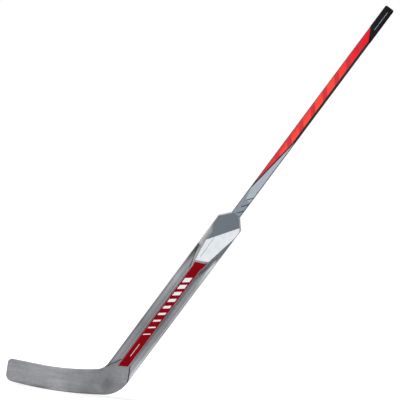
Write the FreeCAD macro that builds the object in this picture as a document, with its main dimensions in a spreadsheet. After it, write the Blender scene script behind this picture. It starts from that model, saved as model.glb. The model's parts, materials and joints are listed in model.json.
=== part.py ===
"""Hockey goalie stick, as the layers that a moulded stick is glued up from.

The stick is drawn with its shaft upright: X runs across the paddle towards the heel side,
Y through its thickness (the face towards -Y is the front) and Z up the shaft. The origin is
on the shaft's centre line at the neck, where the goalkeeper's hand meets the paddle.
Every finished piece is then leaned over by its Placement until the sole lies level.
"""
import FreeCAD, Part
import math
import os

import Sketcher
from FreeCAD import Placement, Rotation, Vector

# Driving sizes, in millimetres and degrees.
DRIVING_SIZES = [
    # lie of the whole stick, and the cuts' overrun
    ("lie_angle", 61.5),
    ("overrun", 5.0),
    # shaft
    ("shaft_width", 30.0),
    ("shaft_depth", 21.0),
    ("shaft_corner", 4.5),
    ("shaft_wall", 2.2),
    ("handle_length", 794.0),
    # butt plug and grip sleeve
    ("plug_head", 4.0),
    ("plug_stem", 34.0),
    ("plug_gap", 0.15),
    ("plug_bevel", 2.8),
    ("plug_rib", 2.0),
    ("plug_rib_pitch", 8.0),
    ("plug_groove", 0.8),
    ("wrap_film", 0.5),
    ("wrap_toe_side", 81.0),
    ("wrap_heel_side", 122.0),
    # paddle
    ("paddle_width", 84.0),
    ("shoulder_drop", 31.0),
    ("shoulder_bevel", 3.0),
    ("skin", 1.2),
    ("rail", 4.0),
    ("spine_width", 34.0),
    ("wing_root", 9.6),
    ("wing_floor", 8.6),
    ("wing_edge", 14.8),
    ("wing_curl", 8.0),
    ("wing_lip", 1.2),
    ("hollow_lean", 0.33),
    ("wall_angle", 15.0),
    ("wing_top", 143.0),
    ("flare_start", 217.0),
    ("flare_bend", 160.0),
    ("spine_end", 569.0),
    ("crease_end", 60.0),
    ("facet_angle", 21.0),
    # heel and blade
    ("heel_drop", 615.5),
    ("heel_radius", 92.0),
    ("sole_radius", 1240.0),
    ("contact_setback", 134.0),
    ("blade_length", 387.0),
    ("blade_height", 72.3),
    ("top_radius", 800.0),
    ("top_setback", 156.0),
    ("toe_straight", 96.0),
    ("throat_radius", 46.0),
    ("throat_rise", 5.0),
    ("toe_low_corner", 22.0),
    ("toe_high_corner", 13.0),
    ("heel_ramp", 68.0),
    ("ramp_setback", 20.0),
    ("blade_root", 12.5),
    ("blade_tip", 8.0),
    ("blade_curve", 16.0),
    ("edge_round", 2.6),
    ("block_reach", 14.0),
    ("block_point", 22.0),
    ("tenon_length", 62.0),
    ("tenon_gap", 0.15),
    ("rib_height", 34.0),
    ("rib_thickness", 2.4),
    # printed films
    ("film", 0.3),
    ("band_width", 26.4),
    ("band_top", 185.0),
    ("band_bottom", 583.0),
    ("band_slant", 8.0),
    ("band_flare", 5.6),
    ("band_flare_start", 207.0),
]

# Corners of the shoulder panel: across as shares of half the paddle's width, and down from
# the neck as shares of the distance to where the hollows flare.
PANEL_SHARES = [
    (-0.66, 0.541), (0.79, 0.131), (0.955, 0.166), (0.955, 0.285), (0.46, 0.779), (-0.42, 0.863)]

doc = FreeCAD.newDocument("goalie_stick")
sizes = doc.addObject("Spreadsheet::Sheet", "sizes")
for row, (alias, amount) in enumerate(DRIVING_SIZES, start=1):
    sizes.set(f"A{row}", alias)
    sizes.set(f"B{row}", str(amount))
    sizes.setAlias(f"B{row}", alias)
doc.recompute()

FRONT = Placement(Vector(), Rotation(Vector(1, 0, 0), 90))
CROSS = Placement()
LEAN_BACK = "90 - sizes.lie_angle"

HALF_PADDLE = "(sizes.paddle_width / 2)"
HALF_SPINE = "(sizes.spine_width / 2)"
HALF_SHAFT = "(sizes.shaft_width / 2)"
HALF_DEPTH = "(sizes.shaft_depth / 2 + sizes.skin)"
RAIL_INSIDE = "(sizes.paddle_width / 2 - sizes.rail)"
FLARE_LEAN = f"atan(({RAIL_INSIDE} - {HALF_SPINE}) / (sizes.flare_start - sizes.wing_top))"
PAST_EDGE = "(sizes.paddle_width / 2 + sizes.overrun)"
THROUGH = "(sizes.shaft_depth + 2 * sizes.skin + 2 * sizes.overrun)"
BORE_WIDTH = "(sizes.shaft_width - 2 * sizes.shaft_wall)"
BORE_DEPTH = "(sizes.shaft_depth - 2 * sizes.shaft_wall)"
BORE_CORNER = "(sizes.shaft_corner - sizes.shaft_wall)"
PLUG_SEAT = "(sizes.handle_length - sizes.plug_head)"
BLADE_REACH = "(sizes.blade_length - sizes.heel_radius)"
TOP_CENTRE_DROP = "(sizes.sole_radius - sizes.top_radius - sizes.blade_height)"
SOLE_CENTRE_RISE = "sqrt(pow(sizes.sole_radius - sizes.heel_radius; 2) - pow(sizes.contact_setback; 2))"
TOE_DIRECTION = "(180 - sizes.lie_angle) * 1 deg"
TOE_TILT = f"asin(({BLADE_REACH} - sizes.toe_straight - sizes.top_setback) / sizes.top_radius)"
STRAIGHT_DIRECTION = f"(90 - sizes.lie_angle) * 1 deg - {TOE_TILT}"
SINE, COSINE = "sin(sizes.lie_angle)", "cos(sizes.lie_angle)"

# Coordinates nearer than this are the same.
TOUCH = 1e-6


# Sketching


def number(expression):
    """The value of an expression over the sheet, as a plain number."""
    answer = sizes.evalExpression(expression)
    return float(getattr(answer, "Value", answer))


def flat_sketch(name, placement):
    """A sketch of its own, lying in the given plane."""
    sketch = doc.addObject("Sketcher::SketchObject", name)
    sketch.Placement = placement
    return sketch


def body_sketch(body, name, role, offset=None):
    """A sketch on one of a body's own origin planes, raised along the plane's normal."""
    sketch = body.newObject("Sketcher::SketchObject", name)
    plane = next(p for p in body.Origin.OriginFeatures if p.Role == role)
    sketch.AttachmentSupport = [(plane, "")]
    sketch.MapMode = "FlatFace"
    if offset:
        sketch.setExpression("AttachmentOffset.Base.z", offset)
    return sketch


def bind(sketch, constraint, expression):
    """Adds a constraint whose size follows an expression."""
    index = sketch.addConstraint(constraint)
    sketch.setExpression(f"Constraints[{index}]", expression)


def pin(sketch, line, end, across, up):
    """Holds one end of a line or arc at a pair of expressions."""
    bind(sketch, Sketcher.Constraint("DistanceX", line, end, number(across)), across)
    bind(sketch, Sketcher.Constraint("DistanceY", line, end, number(up)), up)


def draw_polygon(sketch, corners):
    """A closed straight-sided outline with every corner pinned."""
    first = sketch.GeometryCount
    points = [Vector(number(across), number(up), 0) for across, up in corners]
    count = len(points)
    for index in range(count):
        sketch.addGeometry(Part.LineSegment(points[index], points[(index + 1) % count]))
    for index, (across, up) in enumerate(corners):
        after = first + (index + 1) % count
        sketch.addConstraint(Sketcher.Constraint("Coincident", first + index, 2, after, 1))
        pin(sketch, first + index, 1, across, up)


def draw_rounded_box(sketch, width, depth, corner):
    """A rectangle about the origin with four equal round corners."""
    half_width, half_depth, radius = number(width) / 2, number(depth) / 2, number(corner)
    first = sketch.GeometryCount
    for turn, (x, y) in enumerate([(1, -1), (1, 1), (-1, 1), (-1, -1)]):
        centre = Vector(x * (half_width - radius), y * (half_depth - radius), 0)
        start = math.radians(90 * turn - 90)
        circle = Part.Circle(centre, Vector(0, 0, 1), radius)
        sketch.addGeometry(Part.ArcOfCircle(circle, start, start + math.radians(90)))
    for turn in range(4):
        start = sketch.getPoint(first + turn, 2)
        end = sketch.getPoint(first + (turn + 1) % 4, 1)
        sketch.addGeometry(Part.LineSegment(start, end))
        line = first + 4 + turn
        sketch.addConstraint(Sketcher.Constraint("Tangent", first + turn, 2, line, 1))
        sketch.addConstraint(Sketcher.Constraint("Tangent", line, 2, first + (turn + 1) % 4, 1))
    for turn in range(1, 4):
        sketch.addConstraint(Sketcher.Constraint("Equal", first, first + turn))
    bind(sketch, Sketcher.Constraint("Radius", first, radius), corner)
    pin(sketch, first, 3, f"{width} / 2 - {corner}", f"{corner} - {depth} / 2")
    pin(sketch, first + 2, 3, f"{corner} - {width} / 2", f"{depth} / 2 - {corner}")


def ice_point(distance, height):
    """Expressions for a point given along the ice and up from it, from the heel's centre."""
    across = f"({HALF_PADDLE} - sizes.heel_radius + ({distance}) * {SINE} - ({height}) * {COSINE})"
    up = f"(({distance}) * {COSINE} + ({height}) * {SINE} - sizes.heel_drop)"
    return across, up


def along_ice(distance, height):
    """Point of the front view given along the ice (towards the heel) and up from it."""
    lie = math.radians(number("sizes.lie_angle"))
    toward_heel = Vector(math.sin(lie), math.cos(lie), 0)
    upward = Vector(-math.cos(lie), math.sin(lie), 0)
    return toward_heel * distance + upward * height


def tangent_arc(start, heading, end):
    """Arc that leaves a point in a heading and ends at another, with its heading there."""
    chord = end - start
    side = Vector(-heading.y, heading.x, 0)
    radius = chord.dot(chord) / (2 * chord.dot(side))
    centre = start + side * radius
    turn = 2 * math.atan2(chord.dot(side), chord.dot(heading))
    half = Rotation(Vector(0, 0, 1), math.degrees(turn / 2))
    middle = centre + half.multVec(start - centre)
    return Part.Arc(start, middle, end), Rotation(Vector(0, 0, 1), math.degrees(turn)).multVec(heading)


def point_on(sketch, line, spot):
    """Which end of a line or arc lies at a point."""
    return 1 if sketch.getPoint(line, 1).isEqual(spot, TOUCH) else 2


# Solids from sketches


def extrude(name, sketch, forward=None, backward=None, through=None):
    """Sketch drawn out along its normal, one way, both ways or evenly about its plane."""
    solid = doc.addObject("Part::Extrusion", name)
    solid.Base = sketch
    solid.DirMode = "Normal"
    solid.Solid = True
    if through:
        solid.Symmetric = True
        solid.setExpression("LengthFwd", through)
    if forward:
        solid.setExpression("LengthFwd", forward)
    if backward:
        solid.setExpression("LengthRev", backward)
    return solid


def front_region(name, corners, through=THROUGH):
    """A straight-sided region of the front view, usually cut right through the thickness."""
    sketch = flat_sketch(f"{name}_outline", FRONT)
    draw_polygon(sketch, corners)
    return extrude(name, sketch, through=through)


def combine(kind, name, base, tool):
    """A boolean of two solids: Cut, Common or Fuse."""
    result = doc.addObject(f"Part::{kind}", name)
    result.Base = base
    result.Tool = tool
    return result


def shifted(name, solid, amount):
    """The same solid moved through the thickness."""
    copy = doc.addObject("Part::Compound", name)
    copy.Links = [solid]
    copy.setExpression("Placement.Base.y", amount)
    return copy


def mirrored(name, solid, normal):
    """The solid's image in a plane through the origin."""
    image = doc.addObject("Part::Mirroring", name)
    image.Source = solid
    image.Normal = normal
    return image


def pad(body, name, sketch, length, midplane=False, reverse=False):
    """A pad of a sketch in its body."""
    feature = body.newObject("PartDesign::Pad", name)
    feature.Profile = sketch
    feature.Midplane = midplane
    feature.Reversed = reverse
    feature.setExpression("Length", length)
    return feature


PIECES = []


def finish(piece, name):
    """Names a finished piece and leans it over with the stick."""
    piece.Label = name
    piece.Placement = Placement(Vector(), Rotation(Vector(0, 1, 0), number(LEAN_BACK)))
    piece.setExpression("Placement.Rotation.Angle", LEAN_BACK)
    PIECES.append(piece)


# Shaft


def make_shaft_tube():
    """Hollow tube from the heel block, up through the spine, to the butt plug's head."""
    tube = doc.addObject("PartDesign::Body", "shaft_tube_body")
    section = body_sketch(tube, "tube_section", "XY_Plane", "-sizes.spine_end")
    draw_rounded_box(section, "sizes.shaft_width", "sizes.shaft_depth", "sizes.shaft_corner")
    draw_rounded_box(section, BORE_WIDTH, BORE_DEPTH, BORE_CORNER)
    pad(tube, "tube_wall", section, "sizes.spine_end + sizes.handle_length - sizes.plug_head")
    finish(tube, "shaft_tube")


def make_butt_plug():
    """Head flush with the tube, bevelled on top, over a grooved stem that fills the bore."""
    plug = doc.addObject("PartDesign::Body", "butt_plug_body")
    head = body_sketch(plug, "plug_head_section", "XY_Plane", PLUG_SEAT)
    draw_rounded_box(head, "sizes.shaft_width", "sizes.shaft_depth", "sizes.shaft_corner")
    head_pad = pad(plug, "plug_head_pad", head, "sizes.plug_head")
    doc.recompute()
    top = number("sizes.handle_length")
    rim = [f"Edge{index}" for index, edge in enumerate(head_pad.Shape.Edges, start=1)
           if abs(edge.BoundBox.ZMin - top) < TOUCH and abs(edge.BoundBox.ZMax - top) < TOUCH]
    bevel = plug.newObject("PartDesign::Chamfer", "plug_head_bevel")
    bevel.Base = (head_pad, rim)
    bevel.setExpression("Size", "sizes.plug_bevel")
    stem = body_sketch(plug, "plug_stem_section", "XY_Plane", PLUG_SEAT)
    draw_rounded_box(stem, f"({BORE_WIDTH} - 2 * sizes.plug_gap)",
                     f"({BORE_DEPTH} - 2 * sizes.plug_gap)", f"({BORE_CORNER} - sizes.plug_gap)")
    pad(plug, "plug_stem_pad", stem, "sizes.plug_stem", reverse=True)
    ribs = int((number("sizes.plug_stem") - number("sizes.plug_rib")) / number("sizes.plug_rib_pitch"))
    for step in range(ribs):
        level = f"{PLUG_SEAT} - sizes.plug_rib - {step} * sizes.plug_rib_pitch"
        ring = body_sketch(plug, f"plug_groove_{step}_section", "XY_Plane", level)
        outer = f"({BORE_WIDTH} + sizes.overrun)"
        inner = f"({BORE_WIDTH} - 2 * sizes.plug_gap - 2 * sizes.plug_groove)"
        deep = f"({BORE_DEPTH} - 2 * sizes.plug_gap - 2 * sizes.plug_groove)"
        draw_rounded_box(ring, outer, f"({BORE_DEPTH} + sizes.overrun)", BORE_CORNER)
        draw_rounded_box(ring, inner, deep, f"({BORE_CORNER} - sizes.plug_gap)")
        groove = plug.newObject("PartDesign::Pocket", f"plug_groove_{step}")
        groove.Profile = ring
        groove.setExpression("Length", "sizes.plug_rib_pitch - sizes.plug_rib")
    finish(plug, "butt_plug")


def make_butt_wrap():
    """Thin sleeve round the top of the tube, cut off at a slant below."""
    wrap = doc.addObject("PartDesign::Body", "butt_wrap_body")
    section = body_sketch(wrap, "wrap_section", "XY_Plane", PLUG_SEAT)
    draw_rounded_box(section, "(sizes.shaft_width + 2 * sizes.wrap_film)",
                     "(sizes.shaft_depth + 2 * sizes.wrap_film)",
                     "(sizes.shaft_corner + sizes.wrap_film)")
    draw_rounded_box(section, "sizes.shaft_width", "sizes.shaft_depth", "sizes.shaft_corner")
    longest = "max(sizes.wrap_toe_side; sizes.wrap_heel_side) + sizes.overrun"
    pad(wrap, "wrap_film_pad", section, longest, reverse=True)
    slant = body_sketch(wrap, "wrap_slant_outline", "XZ_Plane")
    toe_end = "(sizes.handle_length - sizes.wrap_toe_side)"
    heel_end = "(sizes.handle_length - sizes.wrap_heel_side)"
    fall = f"({heel_end} - {toe_end}) / sizes.shaft_width * sizes.overrun"
    below = f"min({toe_end}; {heel_end}) - sizes.shaft_width - 2 * sizes.overrun"
    beyond = f"({HALF_SHAFT} + sizes.overrun)"
    draw_polygon(slant, [(f"-{beyond}", f"{toe_end} - {fall}"), (f"-{beyond}", below),
                         (beyond, below), (beyond, f"{heel_end} + {fall}")])
    cut = wrap.newObject("PartDesign::Pocket", "wrap_slant")
    cut.Profile = slant
    cut.Midplane = True
    cut.setExpression("Length", THROUGH)
    finish(wrap, "butt_wrap")


# Paddle


def make_paddle_blank():
    """Plate with square sides, sloping shoulders with a bevel, and a stepped lower end."""
    blank = doc.addObject("PartDesign::Body", "paddle_blank")
    outline = body_sketch(blank, "paddle_outline", "XZ_Plane")
    draw_polygon(outline, [
        (HALF_SHAFT, "0"), (HALF_PADDLE, "-sizes.shoulder_drop"), (HALF_PADDLE, "-sizes.heel_drop"),
        (HALF_SPINE, "-sizes.spine_end"), (f"-{HALF_SPINE}", "-sizes.spine_end"),
        (f"-{HALF_PADDLE}", f"-{toe_foot()}"), (f"-{HALF_PADDLE}", "-sizes.shoulder_drop"),
        (f"-{HALF_SHAFT}", "0")])
    plate = pad(blank, "paddle_plate", outline, f"2 * {HALF_DEPTH}", midplane=True)
    doc.recompute()
    shoulder = -number("sizes.shoulder_drop")
    face = number(HALF_DEPTH)
    slopes = [f"Edge{index}" for index, edge in enumerate(plate.Shape.Edges, start=1)
              if abs(edge.BoundBox.ZMin - shoulder) < TOUCH and abs(edge.BoundBox.ZMax) < TOUCH
              and abs(abs(edge.BoundBox.YMin) - face) < TOUCH]
    bevel = blank.newObject("PartDesign::Chamfer", "shoulder_slope_bevel")
    bevel.Base = (plate, slopes)
    bevel.setExpression("Size", "sizes.shoulder_bevel")
    return blank


def toe_foot():
    """How far below the neck the paddle's toe side ends, just above the throat's arc."""
    return f"(-{throat_height()} - sizes.throat_rise)"


def joint_level(foot):
    """Height at which the paddle's sloping end crosses the inside of a rail."""
    share = f"({RAIL_INSIDE} - {HALF_SPINE}) / ({HALF_PADDLE} - {HALF_SPINE})"
    return f"(-sizes.spine_end - ({foot} - sizes.spine_end) * {share})"


def joint_corners():
    """Corners of the joint of paddle and blade between the rails, from the toe side."""
    return [
        (f"-{RAIL_INSIDE}", joint_level(toe_foot())), (f"-{HALF_SPINE}", "-sizes.spine_end"),
        (HALF_SPINE, "-sizes.spine_end"), (RAIL_INSIDE, joint_level("sizes.heel_drop"))]


def flare_line(across):
    """Height at which the upper edge of a hollow crosses a given distance from the axis."""
    rise = "(sizes.flare_start - sizes.wing_top)"
    run = f"({RAIL_INSIDE} - {HALF_SPINE})"
    return f"(({across} - {HALF_SPINE}) * {rise} / {run} - sizes.flare_start)"


def draw_hollow(sketch):
    """A hollow in front view, heel side: spine edge, bend, flare, then out past the rail.

    The outline lies an overrun above the paddle's face, so it is wider than the hollow's rim
    by what the sloping wall gains there. At the floor its lower end meets the paddle's end.
    """
    foot = "sizes.heel_drop"
    lead = "(sizes.overrun * tan(sizes.wall_angle))"
    spine = f"({HALF_SPINE} - {lead})"
    past = f"({HALF_PADDLE} + 2 * sizes.overrun)"
    rise = "(sizes.spine_end - sizes.wing_top) * tan(sizes.hollow_lean)"
    wall = f"(({HALF_DEPTH} - sizes.wing_root / 2 - {rise}) * tan(sizes.wall_angle) + {lead})"
    fall = f"(({foot} - sizes.spine_end) / ({HALF_PADDLE} - {HALF_SPINE}))"
    bottom = f"(sizes.spine_end + {wall} * sqrt(1 + pow({fall}; 2)))"
    corner = f"({flare_line(spine)} + {lead} / sin({FLARE_LEAN}))"
    reach = f"(sizes.flare_bend * tan({FLARE_LEAN} / 2))"
    points = [
        (spine, f"({fall} * {lead} - {bottom})"),
        (past, f"-({bottom} + {fall} * ({past} - {HALF_SPINE}))"),
        (past, f"({flare_line(past)} + {lead} / sin({FLARE_LEAN}))"),
        (f"({spine} + {reach} * sin({FLARE_LEAN}))", f"({corner} + {reach} * cos({FLARE_LEAN}))"),
        (spine, f"({corner} - {reach})")]
    spots = [Vector(number(across), number(up), 0) for across, up in points]
    for start, end in [(0, 1), (1, 2), (2, 3)]:
        sketch.addGeometry(Part.LineSegment(spots[start], spots[end]))
    bend = tangent_arc(spots[4], Vector(0, 1, 0), spots[3])[0]
    sketch.addGeometry(bend)
    sketch.addGeometry(Part.LineSegment(spots[4], spots[0]))
    for line, end, after, start in [(0, 2, 1, 1), (1, 2, 2, 1), (4, 2, 0, 1)]:
        sketch.addConstraint(Sketcher.Constraint("Coincident", line, end, after, start))
    sketch.addConstraint(Sketcher.Constraint("Tangent", 2, 2, 3, point_on(sketch, 3, spots[3])))
    sketch.addConstraint(Sketcher.Constraint("Tangent", 3, point_on(sketch, 3, spots[4]), 4, 1))
    bind(sketch, Sketcher.Constraint("Radius", 3, number("sizes.flare_bend")), "sizes.flare_bend")
    for line, (across, up) in enumerate(points[:3]):
        pin(sketch, line, 1, across, up)
    bind(sketch, Sketcher.Constraint("DistanceX", 4, 1, number(spine)), spine)


def draw_hollow_section(sketch):
    """What a hollow removes, seen along the shaft: a flat floor that curls up to the edge's lip."""
    lip = f"({HALF_PADDLE} - sizes.wing_lip)"
    curl = f"({lip} - sizes.wing_curl)"
    high = f"({HALF_DEPTH} + 2 * sizes.overrun)"
    past = f"({HALF_PADDLE} + 3 * sizes.overrun)"
    root, floor, edge = "sizes.wing_root / 2", "sizes.wing_floor / 2", "sizes.wing_edge / 2"
    points = [(HALF_SHAFT, root), (curl, floor), (lip, edge), (past, edge), (past, high), (HALF_SHAFT, high)]
    spots = [Vector(number(across), -number(up), 0) for across, up in points]
    sketch.addGeometry(Part.LineSegment(spots[0], spots[1]))
    sketch.addGeometry(tangent_arc(spots[1], (spots[1] - spots[0]).normalize(), spots[2])[0])
    for start, end in [(2, 3), (3, 4), (4, 5), (5, 0)]:
        sketch.addGeometry(Part.LineSegment(spots[start], spots[end]))
    arc_start = point_on(sketch, 1, spots[1])
    sketch.addConstraint(Sketcher.Constraint("Tangent", 0, 2, 1, arc_start))
    sketch.addConstraint(Sketcher.Constraint("Coincident", 1, 3 - arc_start, 2, 1))
    for line in range(2, 5):
        sketch.addConstraint(Sketcher.Constraint("Coincident", line, 2, line + 1, 1))
    sketch.addConstraint(Sketcher.Constraint("Coincident", 5, 2, 0, 1))
    for line, (across, up) in enumerate(points):
        pin(sketch, line, arc_start if line == 1 else 1, across, f"-({up})")


def both_faces(name, heel_side):
    """A front cutter of the heel side, repeated on the toe side and on the back."""
    front = doc.addObject("Part::Compound", f"{name}_front")
    front.Links = [heel_side, mirrored(f"{name}_toe_side", heel_side, Vector(1, 0, 0))]
    both = doc.addObject("Part::Compound", f"{name}_cutters")
    both.Links = [front, mirrored(f"{name}_back", front, Vector(0, 1, 0))]
    return both


def make_hollow():
    """Cutter for a hollow: sloping walls in front view, and a floor that rises towards the heel."""
    plan = flat_sketch("hollow_outline", FRONT)
    plan.setExpression("Placement.Base.y", f"-({HALF_DEPTH} + sizes.overrun)")
    draw_hollow(plan)
    depth = f"{HALF_DEPTH} + sizes.overrun - sizes.wing_floor / 4"
    walls = extrude("hollow_walls", plan, backward=depth)
    walls.setExpression("TaperAngleRev", "-sizes.wall_angle")
    section = flat_sketch("hollow_section", Placement(Vector(), Rotation(Vector(1, 0, 0), -1)))
    section.setExpression("Placement.Base.z", "-sizes.wing_top")
    section.setExpression("Placement.Rotation.Angle", "-sizes.hollow_lean")
    draw_hollow_section(section)
    floor = extrude("hollow_floor", section, forward="sizes.wing_top + sizes.overrun",
                    backward="sizes.heel_drop + sizes.blade_length")
    return combine("Common", "hollow", walls, floor)


def make_facet():
    """Cutter for the flat facet that widens from the spine's crease to the wing's tip.

    It reaches down over the hollow's sloping wall, so no ridge stands between the two.
    """
    crease = f"atan(({HALF_PADDLE} - {HALF_SPINE}) / (sizes.flare_start - sizes.crease_end))"
    turned = Placement(Vector(), Rotation(Vector(0, 1, 0), number(crease)))
    section = flat_sketch("facet_section", turned)
    section.setExpression("Placement.Base.x", HALF_SPINE)
    section.setExpression("Placement.Base.z", "-sizes.flare_start")
    section.setExpression("Placement.Rotation.Angle", crease)
    fall, reach = "tan(sizes.facet_angle)", "sizes.paddle_width"
    above = f"-({HALF_DEPTH} + sizes.overrun * {fall})"
    below = f"{reach} * {fall} - {HALF_DEPTH}"
    draw_polygon(section, [("-sizes.overrun", above), (reach, above), (reach, below)])
    wedge = extrude("facet_wedge", section, through="4 * sizes.flare_start")
    wall = f"({HALF_DEPTH} - sizes.wing_edge / 2) * tan(sizes.wall_angle) / sin({FLARE_LEAN})"
    zone = front_region("facet_zone", [
        (HALF_SPINE, f"-(sizes.flare_start + {wall})"), (PAST_EDGE, f"({flare_line(PAST_EDGE)} - {wall})"),
        (PAST_EDGE, "sizes.overrun"), (HALF_SPINE, "sizes.overrun")])
    return combine("Common", "facet", wedge, zone)


def make_paddle(hollows):
    """Rails taken from the paddle's form; skins, cores and blocks from a wider sheet of it."""
    facets = both_faces("facet", make_facet())
    low = "-(sizes.heel_drop + sizes.overrun)"
    plate = front_region("paddle_wide_plate", [
        (PAST_EDGE, "sizes.overrun"), (PAST_EDGE, low), (f"-{PAST_EDGE}", low),
        (f"-{PAST_EDGE}", "sizes.overrun")], through=f"2 * {HALF_DEPTH}")
    form, sheet = [
        combine("Cut", f"paddle_{name}", combine("Cut", f"hollowed_{name}", solid, hollows), facets)
        for name, solid in [("form", make_paddle_blank()), ("sheet", plate)]]
    ledge = f"({HALF_PADDLE} - {HALF_SHAFT})"
    slope = f"(sizes.rail * sqrt(pow(sizes.shoulder_drop; 2) + pow({ledge}; 2)) / {ledge})"
    corner = f"({slope} + ({RAIL_INSIDE} - {HALF_SHAFT}) * sizes.shoulder_drop / {ledge})"
    inside = front_region("paddle_inside", joint_corners() + [
        (RAIL_INSIDE, f"-{corner}"), (HALF_SHAFT, f"-{slope}"), (HALF_SHAFT, "0"),
        (f"-{HALF_SHAFT}", "0"), (f"-{HALF_SHAFT}", f"-{slope}"), (f"-{RAIL_INSIDE}", f"-{corner}")])
    core = make_skins("paddle", sheet, inside)
    rails = combine("Cut", "paddle_rails", form, inside)
    for side, sign in [("toe_side", "-"), ("heel_side", "")]:
        half = front_region(f"paddle_{side}", [
            ("0", "sizes.overrun"), (f"{sign}{PAST_EDGE}", "sizes.overrun"), (f"{sign}{PAST_EDGE}", low),
            ("0", low)])
        finish(combine("Common", f"rail_{side}", rails, half), f"paddle_rail_{side}")
        wing = front_region(f"wing_zone_{side}", [
            (f"{sign}{HALF_SHAFT}", "-sizes.wing_top"), (f"{sign}{PAST_EDGE}", "-sizes.wing_top"),
            (f"{sign}{PAST_EDGE}", low), (f"{sign}{HALF_SHAFT}", low)])
        finish(combine("Common", f"wing_{side}", core, wing), f"wing_core_{side}")
        shoulder = front_region(f"shoulder_zone_{side}", [
            (f"{sign}{HALF_SHAFT}", "sizes.overrun"), (f"{sign}{PAST_EDGE}", "sizes.overrun"),
            (f"{sign}{PAST_EDGE}", "-sizes.wing_top"), (f"{sign}{HALF_SHAFT}", "-sizes.wing_top")])
        finish(combine("Common", f"shoulder_{side}", core, shoulder), f"shoulder_block_{side}")


def make_skins(part, sheet, inside):
    """Front and back skin of a wide sheet, within the edging, and the core that they cover."""
    backward = shifted(f"{part}_sheet_backward", sheet, "sizes.skin")
    forward = shifted(f"{part}_sheet_forward", sheet, "-sizes.skin")
    front = combine("Cut", f"{part}_front_layer", sheet, backward)
    back = combine("Cut", f"{part}_back_layer", sheet, forward)
    finish(combine("Common", f"{part}_front", front, inside), f"{part}_front_skin")
    finish(combine("Common", f"{part}_back", back, inside), f"{part}_back_skin")
    between = combine("Common", f"{part}_between_skins", backward, forward)
    return combine("Common", f"{part}_core", between, inside)


# Heel and blade


def blade_centres():
    """Centres of the heel, sole, top and throat arcs in front view."""
    places = [
        ice_point("0", "0"),
        ice_point("-sizes.contact_setback", SOLE_CENTRE_RISE),
        ice_point("-sizes.top_setback", f"{SOLE_CENTRE_RISE} - {TOP_CENTRE_DROP}"),
        (f"-({HALF_PADDLE} + sizes.throat_radius)", throat_height())]
    return [Vector(number(across), number(up), 0) for across, up in places]


def throat_height():
    """Height at which the throat's arc leaves the paddle's side."""
    across, height = ice_point("-sizes.top_setback", f"{SOLE_CENTRE_RISE} - {TOP_CENTRE_DROP}")
    side = f"({HALF_PADDLE} + sizes.throat_radius + {across})"
    return f"({height} - sqrt(pow(sizes.top_radius - sizes.throat_radius; 2) - pow({side}; 2)))"


def far_point(centre, radius, other):
    """Point of a circle that lies straight away from another circle's centre."""
    return centre - (other - centre).normalize() * radius


def low_corner_centre(toe, inset, centre, distance):
    """Centre of the toe's low corner: a set distance from its line and from the sole's centre."""
    start = toe + along_ice(inset, 0)
    offset = start - centre
    along = -offset.dot(along_ice(0, 1))
    spread = math.sqrt(distance ** 2 - offset.dot(offset) + along ** 2)
    return start + along_ice(0, along - spread)


def high_corner_centre(toe, inset, spot, normal):
    """Centre of the toe's high corner: a set distance from its line and below the straight."""
    start = toe + along_ice(inset, 0)
    below = -inset - (start - spot).dot(normal)
    return start + along_ice(0, below / along_ice(0, 1).dot(normal))


def angle_of(centre, point):
    """Direction of a point seen from a centre, in radians."""
    ray = point - centre
    return math.atan2(ray.y, ray.x)


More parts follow.
